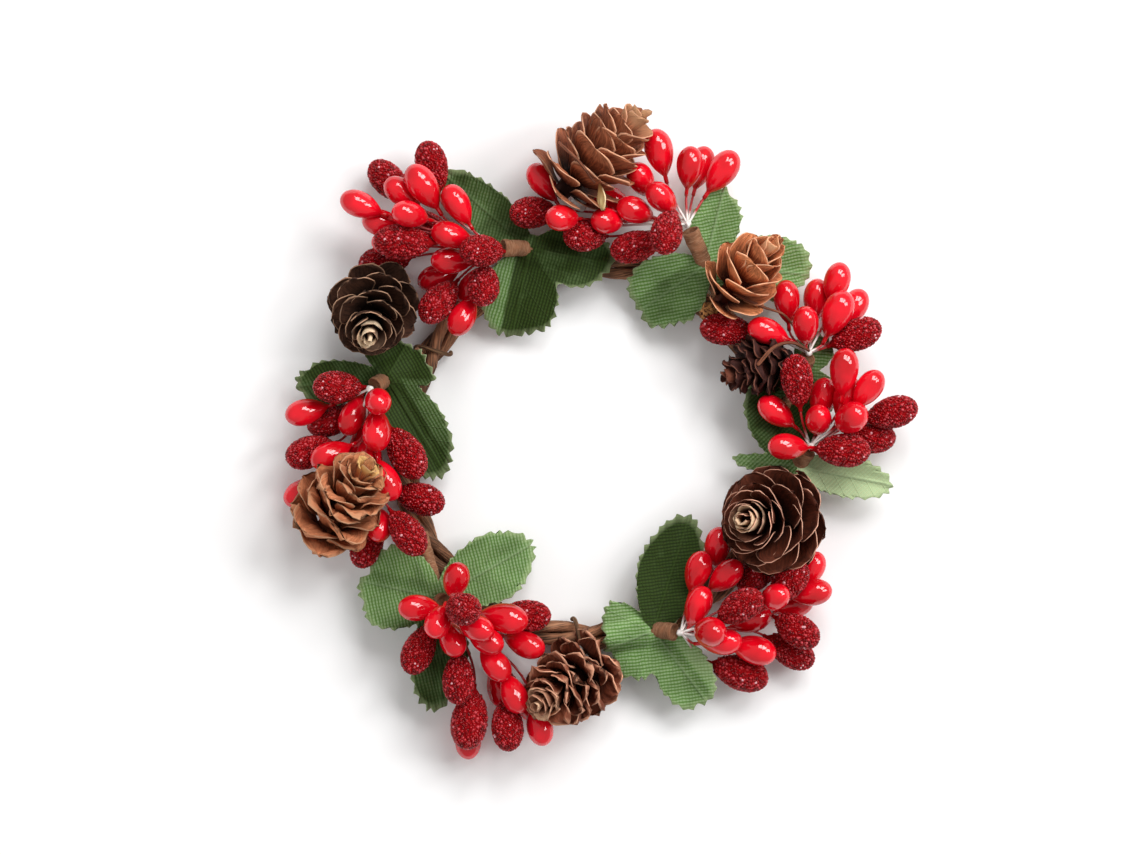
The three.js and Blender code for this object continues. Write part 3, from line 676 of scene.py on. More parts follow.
def leaf_finish(colour, shade, pitch):
    """Starched plain weave with raised ribs one way, an embossed midrib and side veins."""
    f = Finish("woven_leaf", Roughness=0.66, Sheen_Weight=0.1, Sheen_Roughness=0.4,
               Sheen_Tint=(0.8, 0.95, 0.55), Specular_IOR_Level=0.12)
    cloth = f.uv((1 / MM, 1 / MM, 1))
    drift = f.node("VectorMath", {0: f.noise(cloth, 0.3, 2), "Scale": 0.7}, operation="SCALE")
    moved = f.node("VectorMath", {0: cloth, 1: drift}, operation="ADD")
    split = f.node("SeparateXYZ", {"Vector": moved}).node.outputs
    ribs, yarns = (f.math("ABSOLUTE", f.wave(split[n], math.pi / pitch)) for n in (0, 1))
    weave = f.math("MULTIPLY", ribs, f.stretch(yarns, 0.0, 0.8, 0.6, 1.0))
    patches = f.noise(f.millimetres(), 0.14, 3)
    # The shade mark with random patches: above zero the green is painted darker, partly the cloth's
    # own tone and partly painted shade; below zero it is painted paler still, as light.
    dark = f.math("ADD", f.mark("shade"), f.stretch(patches, 0.3, 0.7, -0.15, 0.15))
    painted_light = f.ramp(dark, -1.0, 0.0, PAINTED_LIGHT_CLOTH, colour)
    tone = f.ramp(dark, 0.0, 1.0, painted_light, shade)
    # Over the weave's own pattern, its ribs are painted paler as a highlight and its gaps darker as
    # shade.
    pale = f.ramp(dark, 0.0, 1.0, PALE_CLOTH, DARK_PALE_CLOTH)
    lit = f.ramp(weave, 0.4, 0.95, tone, pale, most=0.75)
    gaps = f.fade(weave, 0.0, 0.45, lit, f.blend(0.75, tone, BLACK), most=0.3)
    midrib = f.stretch(f.mark("across"), 0.15, 0.6, 1.0, 0.0)
    veins = f.stretch(f.wave(f.mark("vein"), TURN / VEIN_PITCH), 0.95, 1.0, 0.0, 0.4)
    lines = f.math("MAXIMUM", midrib, veins)
    marked = f.blend(f.math("MULTIPLY", lines, 0.3), gaps, pale)
    frayed = f.ramp(f.mark("edge"), 0.94, 1.0, marked, FRAYED_CLOTH, most=0.5)
    relief = f.bump(weave, 0.3, 0.3, f.bump(lines, 0.5, 0.6))
    return f.use(Base_Color=frayed, Normal=relief)


def leaf_edge_finish():
    f = Finish("frayed_edge", Roughness=0.85)
    return f.use(Base_Color=f.blend(f.noise(f.millimetres(), 2.0, 2), *EDGE_FIBRES))


def lacquer_finish(colour, deep):
    """Thick clear red lacquer, darker where it runs down the neck."""
    f = Finish("red_lacquer", Roughness=0.5, Coat_Weight=1.0, Coat_Roughness=0.05, Coat_IOR=1.65,
               Specular_IOR_Level=0.0)
    base = f.ramp(f.noise(f.millimetres(), 0.12, 2), 0.38, 0.8, colour, deep)
    dark_neck = f.fade(f.mark("along"), 0.1, 0.35, base, deep, most=0.6)
    relief = f.bump(f.noise(f.millimetres(), 0.45, 1), 0.3, 0.5)
    return f.use(Base_Color=dark_neck, Coat_Normal=relief)


def sugar_bed_finish(colour):
    """The dark red bead that shows between the grains."""
    f = Finish("crimson_bead", Roughness=0.8, Specular_IOR_Level=0.1)
    return f.use(Base_Color=f.blend(f.noise(f.millimetres(), 0.6, 3), darker(colour, 0.35), colour))


def grain_finish(colour, pale):
    """Clear grains that take up the red below; some are painted pale pink, partly as the sugar's
    paler tint and partly as glints, and a few are painted white as glints.
    """
    f = Finish("sugar_grains", Roughness=0.2, IOR=1.45, Specular_IOR_Level=0.35,
               Sheen_Weight=0.15, Sheen_Roughness=0.4, Sheen_Tint=pale)
    tone = f.mark("tone")
    red = f.ramp(tone, 0.0, 0.8, darker(colour, 0.3), colour)
    # Pale pink grains are partly the sugar's tint and partly painted glints; white ones are painted
    # glints.
    pink = f.ramp(tone, 0.74, 1.0, red, pale, most=0.55)
    return f.use(Base_Color=f.ramp(tone, 0.985, 0.995, pink, WHITE_GLINT, most=0.5))


def thread_finish():
    """White cotton thread stiffened with wax, red where it was dipped with its berry."""
    f = Finish("waxed_thread", Roughness=0.5, Coat_Weight=0.25, Coat_Roughness=0.2)
    twist = f.noise(f.millimetres(), 1.2, 2)
    dipped = f.ramp(f.mark("dip"), 0.34, 0.5, f.blend(twist, *COTTON), DIPPED_COTTON)
    return f.use(Base_Color=dipped, Normal=f.bump(twist, 0.15, 0.5))


def scale_finish(age):
    """Woody scale with streaks along it, dark at the root and paler towards its rim."""
    root, face, rim, bud = MAKES[age].colours
    f = Finish(f"{age}_scale", Roughness=0.7, Specular_IOR_Level=0.25)
    streaks = f.noise(f.uv((60, 3, 1)), 1.0, 4, 0.65, 0.3)
    length = f.node("SeparateXYZ", {"Vector": f.node("TexCoord", out="UV")}, out=1)
    light = [min(channel * 1.8, 1) for channel in face]
    toned = f.ramp(f.mark("tone"), 0.0, 1.0, face, light, most=0.5)
    stained = f.ramp(f.noise(f.millimetres(), 0.25, 3), 0.5, 0.75, toned, root, most=0.6)
    base = f.ramp(length, 0.12, 0.42, root, stained)
    grain = f.fade(streaks, 0.38, 0.6, base, root, most=0.55)
    fibres = f.ramp(streaks, 0.55, 0.75, grain, light, most=0.6)
    pale = f.ramp(f.mark("rim"), 1 - MAKES[age].worn, 1.0, fibres, rim, most=0.8)
    return f.use(Base_Color=f.blend(f.mark("bud"), pale, bud), Normal=f.bump(streaks, 0.4, 0.8))


def rim_finish(age):
    """The thin edge of a scale, paler on some scales than on others."""
    rim = MAKES[age].colours[2]
    f = Finish(f"{age}_rim", Roughness=0.65)
    chips = f.stretch(f.noise(f.millimetres(), 0.5, 3), 0.35, 0.65, 0.0, 0.7)
    chipped = f.math("ADD", chips, f.mark("tone"))
    return f.use(Base_Color=f.ramp(chipped, 0.1, 1.1, darker(rim, 0.3), rim))


def stub_finish():
    """The broken end of a cone's stalk, with golden crumbs in its dark wood."""
    f = Finish("stalk_end", Roughness=0.8, Specular_IOR_Level=0.25)
    crumbs = f.noise(f.millimetres(), 1.1, 3, 0.6)
    return f.use(Base_Color=f.ramp(crumbs, 0.42, 0.6, *STALK_WOOD), Normal=f.bump(crumbs, 0.6))


def glue_finish():
    """Cloudy hot-melt glue."""
    f = Finish("hot_glue", Roughness=0.22, IOR=1.48, Transmission_Weight=0.45,
               Subsurface_Weight=0.3, Subsurface_Radius=(1, 1, 1), Subsurface_Scale=0.002)
    clouds = f.noise(f.millimetres(), 0.5, 2)
    return f.use(Base_Color=f.blend(clouds, *GLUE_CLOUDS), Normal=f.bump(clouds, 0.5, 0.5))


# Settings


def length_setting(name, description, default, low=0.0):
    return FloatProperty(name=name, description=description, default=default, min=low,
                         unit="LENGTH", precision=5)


def colour_setting(name, description, default):
    return FloatVectorProperty(name=name, description=description, default=default, size=3,
                               min=0, max=1, subtype="COLOR")


class VineSettings(bpy.types.PropertyGroup):
    """Sizes and colours of the vine ring and the taped stems."""

    knots: IntProperty(name="Bud knots", description="Old bud knots along each strand", default=6,
                       min=0)
    knot_height: length_setting("Knot height", "How far a bud knot stands out", 0.45 * MM)
    bark_dark: colour_setting("Dark bark", "Shaded bark of the shoots", srgb(122, 80, 56))
    bark_light: colour_setting("Light bark", "Dry bark of the strands", srgb(214, 146, 106))
    tendril: colour_setting("Tendrils", "Dry bark of the tendrils", srgb(176, 132, 92))
    tape: colour_setting("Tape", "Crepe tape on the stems", srgb(146, 98, 68))


class LeafSettings(bpy.types.PropertyGroup):
    """Cut and colours of the fabric leaves."""

    thickness: length_setting("Thickness", "Thickness of the starched cloth", 0.3 * MM)
    tooth: length_setting("Tooth", "Distance between two of the pinked teeth", 3.2 * MM, MM)
    tooth_depth: length_setting("Tooth depth", "Depth of the pinked teeth", 1.15 * MM)
    crease: FloatProperty(name="Crease", description="Rise of a lobe's halves from its midrib",
                          default=0.36, min=0, max=1)
    weave: length_setting("Weave pitch", "Distance between two ribs of the weave", 0.9 * MM)
    # Greens from the palest lobes to the darkest; between them lie each lobe's own tone and its
    # painted shade.
    colour: colour_setting("Green", "Palest lobes", srgb(100, 140, 68))
    shade: colour_setting("Dark green", "Darkest lobes", srgb(36, 50, 16))


class BerrySettings(bpy.types.PropertyGroup):
    """Sizes and colours of the berries."""

    radius: length_setting("Radius", "Radius of a lacquered berry", 3.65 * MM)
    frosted_radius: length_setting("Sugared radius", "Radius of a sugared berry's bead", 4.15 * MM)
    grains: IntProperty(name="Grains", description="Grains on a sugared berry", default=700, min=0)
    grain: length_setting("Grain", "Radius of a grain", 0.39 * MM)
    lacquer: colour_setting("Lacquer", "Red lacquer", srgb(234, 10, 34))
    deep: colour_setting("Deep lacquer", "Lacquer where it is thick", srgb(172, 2, 10))
    sugar: colour_setting("Sugared red", "Bead and most of its grains", srgb(168, 4, 14))
    # The colour painted on some grains as a glint of light, and as the sugar's paler tint.
    sparkle: colour_setting("Sparkle", "Grains that catch the light", srgb(220, 96, 106))


class ConeSettings(bpy.types.PropertyGroup):
    """Sizes that all cones share."""

    thickness: length_setting("Scale thickness", "Thickness of a scale", 0.3 * MM)


class StageSettings(bpy.types.PropertyGroup):
    """Floor and camera."""

    floor: colour_setting("Floor", "Colour of the floor", (0.93, 0.93, 0.93))
    distance: length_setting("Camera height", "Height of the camera over the floor", 1.5)
    frame_width: length_setting("View width", "Width of the view at the wreath", 0.3192)


# Vine and stems

STRAND_COUNT = 3
STRAND_TURNS = 8
STRAND_SIDES = 18
STRAND_ROWS = 320
# Turn along the ring over which a strand's direction is taken.
STRAND_STEP = 0.01
# The strands read the noise this far apart, so that each is uneven in its own way.
STRAND_SHIFT = 7
STRAND_WAVER = 0.1
BARK_RELIEF = 0.16
BUD_KNOT_LENGTH = 1.3

TENDRIL_STARTS = (264, 145)
TENDRIL_RADIUS = 0.6
TENDRIL_LENGTH = 20
TENDRIL_SLANT = 5
TENDRIL_CLASP = (-20, 200)
TENDRIL_OFFSET = VINE_RADIUS + TENDRIL_RADIUS + 0.3
TENDRIL_TAPER = (1.05, 0.7)
TENDRIL_RELIEF = 0.06
TENDRIL_ROWS = 48
TENDRIL_SIDES = 10

# Outside of a wound stem, and its hollow mouth as (share of its way, radius).
TAPE_RADII = (2.45, 2.15, 1.95, 1.7, 1.7)
TAPE_MOUTH = ((0.05, 0), (0.05, 1.5), (0.012, 1.8), (0, 2.2))
TAPE_WRAPS = 7
TAPE_LAP = 0.16
CREPE_RELIEF = 0.14
TAPE_ROWS = 60
TAPE_SIDES = 24


class WREATH_OT_vine(bpy.types.Operator):
    """Twist the strands into the ring and clasp the tendrils round it"""

    bl_idname = "wreath.vine"
    bl_label = "Vine"

    def execute(self, context):
        settings = context.scene.wreath_vine
        bark = bark_finish("vine_bark", settings.bark_dark, settings.bark_light,
                           (TURN * STRAND_RADIUS, TURN * RING_RADIUS))
        for index in range(STRAND_COUNT):
            bm = strand(index, settings)
            finished(f"bark_strand_{index + 1}", bm, [bark], f"vine_strand_{index + 1}")
        twig = bark_finish("tendril_bark", settings.bark_dark, settings.tendril,
                           (TURN * TENDRIL_RADIUS, TENDRIL_LENGTH))
        for number, start in enumerate(TENDRIL_STARTS, 1):
            finished(f"tendril_{number}", tendril(start), [twig], f"vine_tendril_{number}")
        return {"FINISHED"}


def strand_middle(turn, phase):
    """The middle of a strand, and its direction from the middle of the vine."""
    twist = STRAND_TURNS * turn + phase
    outward = Vector((math.cos(turn), math.sin(turn), 0))
    spread = outward * math.cos(twist) + UP * math.sin(twist)
    return outward * RING_RADIUS + UP * VINE_RADIUS + spread * STRAND_SPREAD, spread


def strand(index, settings):
    """A shoot of uneven bark that closes on itself, with old bud knots."""
    phase = index * TURN / STRAND_COUNT
    shift = UP * index * STRAND_SHIFT
    rng = random.Random(index)
    knots = [(rng.random(), rng.random() * TURN) for _ in range(settings.knots)]
    height = settings.knot_height / MM

    def place(u, v):
        turn, around = (v % 1) * TURN, (u % 1) * TURN
        middle, spread = strand_middle(turn, phase)
        ahead, _ = strand_middle(turn + STRAND_STEP, phase)
        side = (ahead - middle).cross(spread).normalized()
        outward = side * math.cos(around) + spread * math.sin(around)
        radius = STRAND_RADIUS * (1 + STRAND_WAVER * noise.noise(middle * 0.11 + shift))
        radius += BARK_RELIEF * noise.noise(middle * 0.2 + outward * 2.4 + shift)
        for at, facing in knots:
            along = (((v % 1) - at + 0.5) % 1 - 0.5) * TURN * RING_RADIUS
            near = math.exp(-((along / BUD_KNOT_LENGTH) ** 2))
            radius += height * (near * max(math.cos(around - facing), 0) ** 2)
        spot = middle + outward * radius
        spot.z = max(spot.z, FRAME_DROP)
        return spot

    return welded(grid(STRAND_SIDES, STRAND_ROWS, place))


def tendril(start):
    """A thin shoot that clasps the ring from its inner side over the top."""
    def curve(t):
        around = math.radians(start + TENDRIL_SLANT * t)
        over = math.radians(lerp(*TENDRIL_CLASP, t))
        radius = RING_RADIUS - TENDRIL_OFFSET * math.cos(over)
        height = VINE_RADIUS + TENDRIL_OFFSET * math.sin(over)
        return Vector((radius * math.cos(around), radius * math.sin(around), height))

    def skin(u, share):
        return TENDRIL_RELIEF * rough(u * 5, share * 22, start)

    stations = capped(TENDRIL_ROWS, lambda t: TENDRIL_RADIUS * lerp(*TENDRIL_TAPER, t))
    return rod(curve, stations, TENDRIL_SIDES, skin)


class WREATH_OT_stems(bpy.types.Operator):
    """Wind tape round the stem of every pick"""

    bl_idname = "wreath.stems"
    bl_label = "Taped stems"

    def execute(self, context):
        tape = tape_finish(context.scene.wreath_vine.tape)
        for number, pick in enumerate(PICKS, 1):
            finished(f"taped_stem_{number}", taped_stem(pick), [tape], f"stem_{number}")
        return {"FINISHED"}


def taped_stem(pick):
    """A stem wound with tape, hollow at its mouth where the threads go in."""
    route = stem_route(pick)

    def skin(u, share):
        lap = TAPE_LAP * ((share * TAPE_WRAPS - u) % 1)
        crepe = CREPE_RELIEF * rough(u * 3, share * 16, pick.knot[0])
        return lap + crepe if share > 0.001 else crepe

    _, *outside = capped(TAPE_ROWS, partial(table_value, TAPE_RADII))
    return rod(partial(through, route), [*TAPE_MOUTH, *outside], TAPE_SIDES, skin)


# Leaves

# Steps round a leaf's edge, the unevenness of its reach, and its least distance from the middle.
EDGE_STEPS = 720
LEAF_UNEVENNESS = 0.14
LEAF_WAIST = 4
# Points of a tooth, how far it is shifted and how deep it is cut, as shares, and the distance
# from the waist over which the teeth set in.
TOOTH_POINTS = 6
TOOTH_SHIFT = 0.3
TOOTH_DEPTHS = (0.4, 1.5)
TEETH_FROM_WAIST = 6
# The sheet: its rows, how far out on the even edge the last row but one lies, and the share of
# the way at which its middle, which has no direction, is marked.
LEAF_ROWS = 16
LEAF_INNER_REACH = 0.9
LEAF_MIDDLE = 0.01
# The side of a lobe painted paler, as light falling on that half, starts this share of its width
# from its midrib, and blurs this far.
PALE_FROM = 0.12
PALE_BLUR = 1.5
VEIN_SLANT = 0.8
# A lobe's halves sink this deep towards their midrib and rise beyond this distance from it. The
# fold and the leaf's own waves set in over these distances from its middle.
FOLD_DEPTH = 1.5
FOLD_REACH = 5.5
FOLD_SETS_IN = 9
WAVE_SETS_IN = 12
LEAF_WAVE = 0.9
# Gap between the leaf and the vine.
LEAF_GAP = 0.3
# The leaf lies over the stem from this share of its way, with a gap, and clings to it this far.
STEM_UNDER_LEAF = 0.42
STEM_STEPS = 30
STEM_DRAPE = 2.4
STEM_GAP = 0.5
# Bearing of the weave from the first midrib.
WEAVE_BEARING = 25


class WREATH_OT_leaves(bpy.types.Operator):
    """Cut the leaves from woven cloth and shape them"""

    bl_idname = "wreath.leaves"
    bl_label = "Leaves"

    def execute(self, context):
        settings = context.scene.wreath_leaf
        cloth = leaf_finish(settings.colour, settings.shade, settings.weave / MM)
        edge = leaf_edge_finish()
        for number, pick in enumerate(PICKS, 1):
            outline = leaf_outline(pick, settings)
            bm = leaf_sheet(pick, outline, settings)
            leaf = finished(f"cloth_leaf_{number}", bm, [cloth, edge], f"leaf_{number}")
            wall = leaf.modifiers.new("Cloth thickness", "SOLIDIFY")
            wall.thickness = settings.thickness
            wall.offset = 0
            wall.material_offset_rim = 1
            declare_leaf(outline, number)
        return {"FINISHED"}


def lobe_edge(lobe, turn):
    """How far a lobe reaches from the leaf's middle at a turn from its midrib, in radians."""
    turn = abs(math.remainder(turn, TURN))
    if turn >= TURN / 4:
        return 0
    low, high = 0, 1
    for _ in range(20):
        share = (low + high) / 2
        if lobe_profile(share) * lobe.width > share * lobe.reach * math.tan(turn):
            low = share
        else:
            high = share
    return low * lobe.reach / math.cos(turn)


def leaf_outline(pick, settings):
    """Pairs of points round a leaf, anticlockwise: on its even edge, and on its pinked one."""
    edge = []
    for n in range(EDGE_STEPS):
        turn = TURN * n / EDGE_STEPS
        out = max(lobe_edge(lobe, turn - math.radians(lobe.bearing)) for lobe in pick.lobes)
        ray = Vector((math.cos(turn), math.sin(turn)))
        uneven = LEAF_UNEVENNESS * rough(*ray * 2.4, pick.knot[0])
        edge.append(ray * max(out * (1 + uneven), LEAF_WAIST))
    edge.append(edge[0])
    totals = totals_of((b - a).length for a, b in pairwise(edge))
    teeth = round(totals[-1] * MM / settings.tooth)
    rng = random.Random(pick.knot[0])
    starts = [totals[-1] * (n + rng.uniform(-TOOTH_SHIFT, TOOTH_SHIFT)) / teeth
              for n in range(teeth)]
    starts = [start - starts[0] for start in starts] + [totals[-1]]
    middle, points = Vector(pick.leaf), []
    for start, end in pairwise(starts):
        depth, keen = settings.tooth_depth / MM * rng.uniform(*TOOTH_DEPTHS), rng.random()
        for n in range(TOOTH_POINTS):
            phase = n / TOOTH_POINTS
            index, share = spot_in(totals, lerp(start, end, phase))
            a, b = edge[index], edge[index + 1]
            spot, forth = a.lerp(b, share), (b - a).normalized()
            notch = lerp(1 - abs(math.cos(math.pi * phase)) ** 1.3,
                         math.sin(math.pi * phase) ** 0.8, keen)
            notch *= depth * smooth((spot.length - LEAF_WAIST) / TEETH_FROM_WAIST)
            points.append((middle + spot, middle + spot + Vector((-forth.y, forth.x)) * notch))
    return points


def lobe_shade(lobe, side):
    """How dark a lobe is at a distance to the left of its midrib: its own tone with painted
    shade, less the painted light on its paler half.
    """
    side = math.copysign(1, lobe.pale) * side - PALE_FROM * lobe.width
    return lobe.shade - abs(lobe.pale) * smooth(side / PALE_BLUR)


def leaf_sheet(pick, outline, settings):
    """The leaf as one sheet from its middle out to its edge, folded at the midribs."""
    cx, cy = pick.leaf
    columns = len(outline)
    route, under = stem_route(pick), []
    for n in range(STEM_STEPS + 1):
        share = lerp(STEM_UNDER_LEAF, 1, n / STEM_STEPS)
        under.append((through(route, share), table_value(STEM_RADII, share)))

    def spot(u, v):
        even, pinked = outline[round(u * columns) % columns]
        if v > LAST_ROW:
            return pinked.x, pinked.y
        share = LEAF_INNER_REACH * (v * LEAF_ROWS / (LEAF_ROWS - 1))
        return lerp(cx, even.x, share), lerp(cy, even.y, share)

    def lobes_at(x, y):
        """A point's place on its own lobe, and on each lobe with that lobe's weight."""
        turn = math.atan2(y - cy, x - cx)
        facing = [math.cos(turn - math.radians(lobe.bearing)) for lobe in pick.lobes]
        weights = [max(value, 0.05) ** 6 for value in facing]
        places = [lobe_place(pick, lobe, x, y) for lobe in pick.lobes]
        shares = [weight / sum(weights) for weight in weights]
        return places[facing.index(max(facing))], list(zip(shares, pick.lobes, places))

    def marks(u, v):
        (along, side), lobes = lobes_at(*spot(u, max(v, LEAF_MIDDLE)))
        # Each lobe's own tone with its painted shade and painted light, blended across the lobes.
        shade = sum(share * lobe_shade(lobe, place[1]) for share, lobe, place in lobes)
        return abs(side), along - abs(side) * VEIN_SLANT, v, shade

    def place(u, v):
        x, y = spot(u, v)
        if v == 0:
            return Vector((x, y, LEAF_HEIGHT))
        (_, side), lobes = lobes_at(x, y)
        height = LEAF_HEIGHT + sum(share * lobe_height(lobe, *at) for share, lobe, at in lobes)
        out = math.hypot(x - cx, y - cy)
        fold = max(settings.crease * (abs(side) - FOLD_REACH), -FOLD_DEPTH)
        height += fold * smooth(out / FOLD_SETS_IN)
        height += LEAF_WAVE * rough(x * 0.1, y * 0.1, cx) * smooth(out / WAVE_SETS_IN)
        height = max(height, height_on_vine(x, y, LEAF_GAP - BERRY_GAP + settings.thickness / MM))
        cover = height
        for middle, radius in under:
            near = 1 - (math.hypot(x - middle.x, y - middle.y) / (radius + STEM_DRAPE)) ** 2
            if near > 0:
                cover = max(cover, lerp(height, middle.z + radius + STEM_GAP, near))
        return Vector((x, y, cover))

    bm = grid(columns, LEAF_ROWS, place, ("across", "vein", "edge", "shade"), marks)
    layer = bm.loops.layers.uv.active
    turn = math.radians(pick.lobes[0].bearing + WEAVE_BEARING)
    c, s = math.cos(turn), math.sin(turn)
    for face in bm.faces:
        for loop in face.loops:
            x, y = (loop.vert.co.x - cx) * MM, (loop.vert.co.y - cy) * MM
            loop[layer].uv = (x * c + y * s, y * c - x * s)
    welded(bm)
    if sum(face.normal.z for face in bm.faces) < 0:
        bmesh.ops.reverse_faces(bm, faces=bm.faces)
    return bm


def declare_leaf(outline, number):
    """The flat cut of a leaf, its outline laid out in the plane, with its area and size; nothing
    uses them.
    """
    cut = [(pinked.x, pinked.y) for _, pinked in outline]
    xs, ys = zip(*cut)
    turned = pairwise(cut + cut[:1])
    area = abs(sum(x0 * y1 - x1 * y0 for (x0, y0), (x1, y1) in turned)) / 2
    flat = ((max(xs) - min(xs)) * MM, (max(ys) - min(ys)) * MM)


# Berries

# Where a berry's neck ends along its axis, and how thick it is.
NECK_END = -9
NECK_RADIUS = 0.55
# Where a berry's body starts, is widest and ends along its axis.
GLOSSY_BODY = (-7.0, 0.4, 5.3)
FROSTED_BODY = (-8.0, 0.8, 6.9)
# Steps of a body's outline, and steps round each kind of berry.
BODY_STEPS = 20
GLOSSY_SIDES = 22
FROSTED_SIDES = 16
# Coats of sugar, which the berries of a spray wear in turn, and the neck that they leave bare.
COATS = 3
BARE_NECK = 2.5
GRAIN_SIZES = (0.75, 1.25)
GRAIN_JITTER = 0.12

THREAD_RADIUS = 0.34
THREAD_ROWS = 10
THREAD_SIDES = 6
# How far the thread ends inside its berry's neck.
THREAD_IN_NECK = 0.6
# The knots of a pick's two sprays lie this far above and below the middle between them.
KNOT_SPREAD = 1.6
KNOT_SIZE = 0.95
KNOT_UNEVENNESS = 0.5


class WREATH_OT_glossy_berries(bpy.types.Operator):
    """Hang the lacquered berries of every pick"""

    bl_idname = "wreath.glossy_berries"
    bl_label = "Lacquered berries"

    def execute(self, context):
        settings = context.scene.wreath_berry
        lacquer = lacquer_finish(settings.lacquer, settings.deep)
        bead = as_mesh(lathed(teardrop(settings.radius / MM, *GLOSSY_BODY), GLOSSY_SIDES))
        for number, pick in enumerate(PICKS, 1):
            finished(f"lacquered_berries_{number}", copies([bead], berry_places(pick, GLOSSY)),
                     [lacquer], f"glossy_berries_{number}")
        bpy.data.meshes.remove(bead)
        return {"FINISHED"}


def berry_places(pick, kind):
    return [aimed(*PLACES[berry], berry.size) for berry in pick.berries if berry.kind is kind]


def teardrop(radius, start, widest, tip):
    """Outline of a berry as (along, radius): a thin neck, a body from its start, a round tip."""
    outline = [(NECK_END, 0), (NECK_END, NECK_RADIUS), (lerp(NECK_END, start, 0.6), NECK_RADIUS)]
    for n in range(BODY_STEPS):
        along = lerp(start, widest, n / BODY_STEPS)
        back = (widest - along) / (widest - start)
        outline.append((along, math.hypot(radius * (1 - back**2) ** 0.8, NECK_RADIUS)))
    end, tip_steps = outline[-1][1], BODY_STEPS // 2
    for n in range(tip_steps):
        turn = math.radians(90 * n / tip_steps)
        outline.append((widest + (tip - widest) * math.sin(turn), end * math.cos(turn)))
    return [*outline, (tip, 0)]


class WREATH_OT_frosted_berries(bpy.types.Operator):
    """Hang the sugared berries of every pick, and coat them"""

    bl_idname = "wreath.frosted_berries"
    bl_label = "Sugared berries"

    def execute(self, context):
        settings = context.scene.wreath_berry
        bed = sugar_bed_finish(settings.sugar)
        sugar = grain_finish(settings.sugar, settings.sparkle)
        outline = teardrop(settings.frosted_radius / MM, *FROSTED_BODY)
        bead = as_mesh(lathed(outline, FROSTED_SIDES))
        coats = [as_mesh(sugar_coat(outline, settings, seed)) for seed in range(COATS)]
        for number, pick in enumerate(PICKS, 1):
            places, node = berry_places(pick, FROSTED), f"frosted_berries_{number}"
            finished(f"sugared_beads_{number}", copies([bead], places), [bed], node)
            finished(f"sugar_grains_{number}", copies(coats, places), [sugar], node)
        for mesh in (bead, *coats):
            bpy.data.meshes.remove(mesh)
        return {"FINISHED"}


def sugar_coat(outline, settings, seed):
    """Round grains spread evenly over a berry of the given outline."""
    rng = random.Random(seed)
    totals = totals_of(math.hypot(b - a, rb - ra) * (ra + rb) / 2
                       for (a, ra), (b, rb) in pairwise(outline))
    bm = bmesh.new()
    tone = bm.verts.layers.float.new("tone")
    for n in range(settings.grains):
        band, share = spot_in(totals, totals[-1] * (n + rng.random()) / settings.grains)
        along, radius = (lerp(a, b, share) for a, b in zip(outline[band], outline[band + 1]))
        if along < NECK_END + BARE_NECK:
            continue
        turn = n * GOLDEN_ANGLE + rng.uniform(-GRAIN_JITTER, GRAIN_JITTER)
        spot = Vector((radius * math.cos(turn), along, radius * math.sin(turn)))
        radius = settings.grain / MM * rng.uniform(*GRAIN_SIZES)
        made = bmesh.ops.create_icosphere(bm, subdivisions=1, radius=radius,
                                          matrix=Matrix.Translation(spot))
        value = rng.random()
        for vert in made["verts"]:
            vert[tone] = value
    return bm


class WREATH_OT_threads(bpy.types.Operator):
    """Draw the threads from the stems' mouths to the berries"""

    bl_idname = "wreath.threads"
    bl_label = "Threads"

    def execute(self, context):
        cotton = thread_finish()
        for number, pick in enumerate(PICKS, 1):
            parts = [thread(pick, berry) for berry in pick.berries]
            parts += [thread_knot(pick, kind) for kind in (GLOSSY, FROSTED)]
            finished(f"berry_threads_{number}", gathered(map(as_mesh, parts)), [cotton])
        return {"FINISHED"}


def knot_place(pick, kind):
    return Vector((*pick.knot, KNOT_HEIGHT + KNOT_SPREAD * (1 if kind is GLOSSY else -1)))


def thread(pick, berry):
    """A thread that leaves its knot straight for the berry and enters the neck along its axis."""
    middle, axis = PLACES[berry]
    knot = knot_place(pick, berry.kind)
    neck = middle + axis * (NECK_END + THREAD_IN_NECK) * berry.size
    bow = (neck - knot).length / 3
    a, b, c, d = knot, knot + (neck - knot).normalized() * bow, neck - axis * bow, neck

    def curve(t):
        return a * (1 - t)**3 + b * 3 * t * (1 - t)**2 + c * 3 * t * t * (1 - t) + d * t**3

    return rod(curve, capped(THREAD_ROWS, lambda t: THREAD_RADIUS), THREAD_SIDES,
               marks=["dip"], values=lambda u, v: [v])


def thread_knot(pick, kind):
    bm = bmesh.new()
    dip = bm.verts.layers.float.new("dip")
    matrix = Matrix.Translation(knot_place(pick, kind))
    made = bmesh.ops.create_icosphere(bm, subdivisions=3, radius=KNOT_SIZE, matrix=matrix)
    for vert in made["verts"]:
        vert.co += vert.normal * KNOT_UNEVENNESS * noise.noise(vert.co * 0.9)
        vert[dip] = 0
    return bm


# Cones

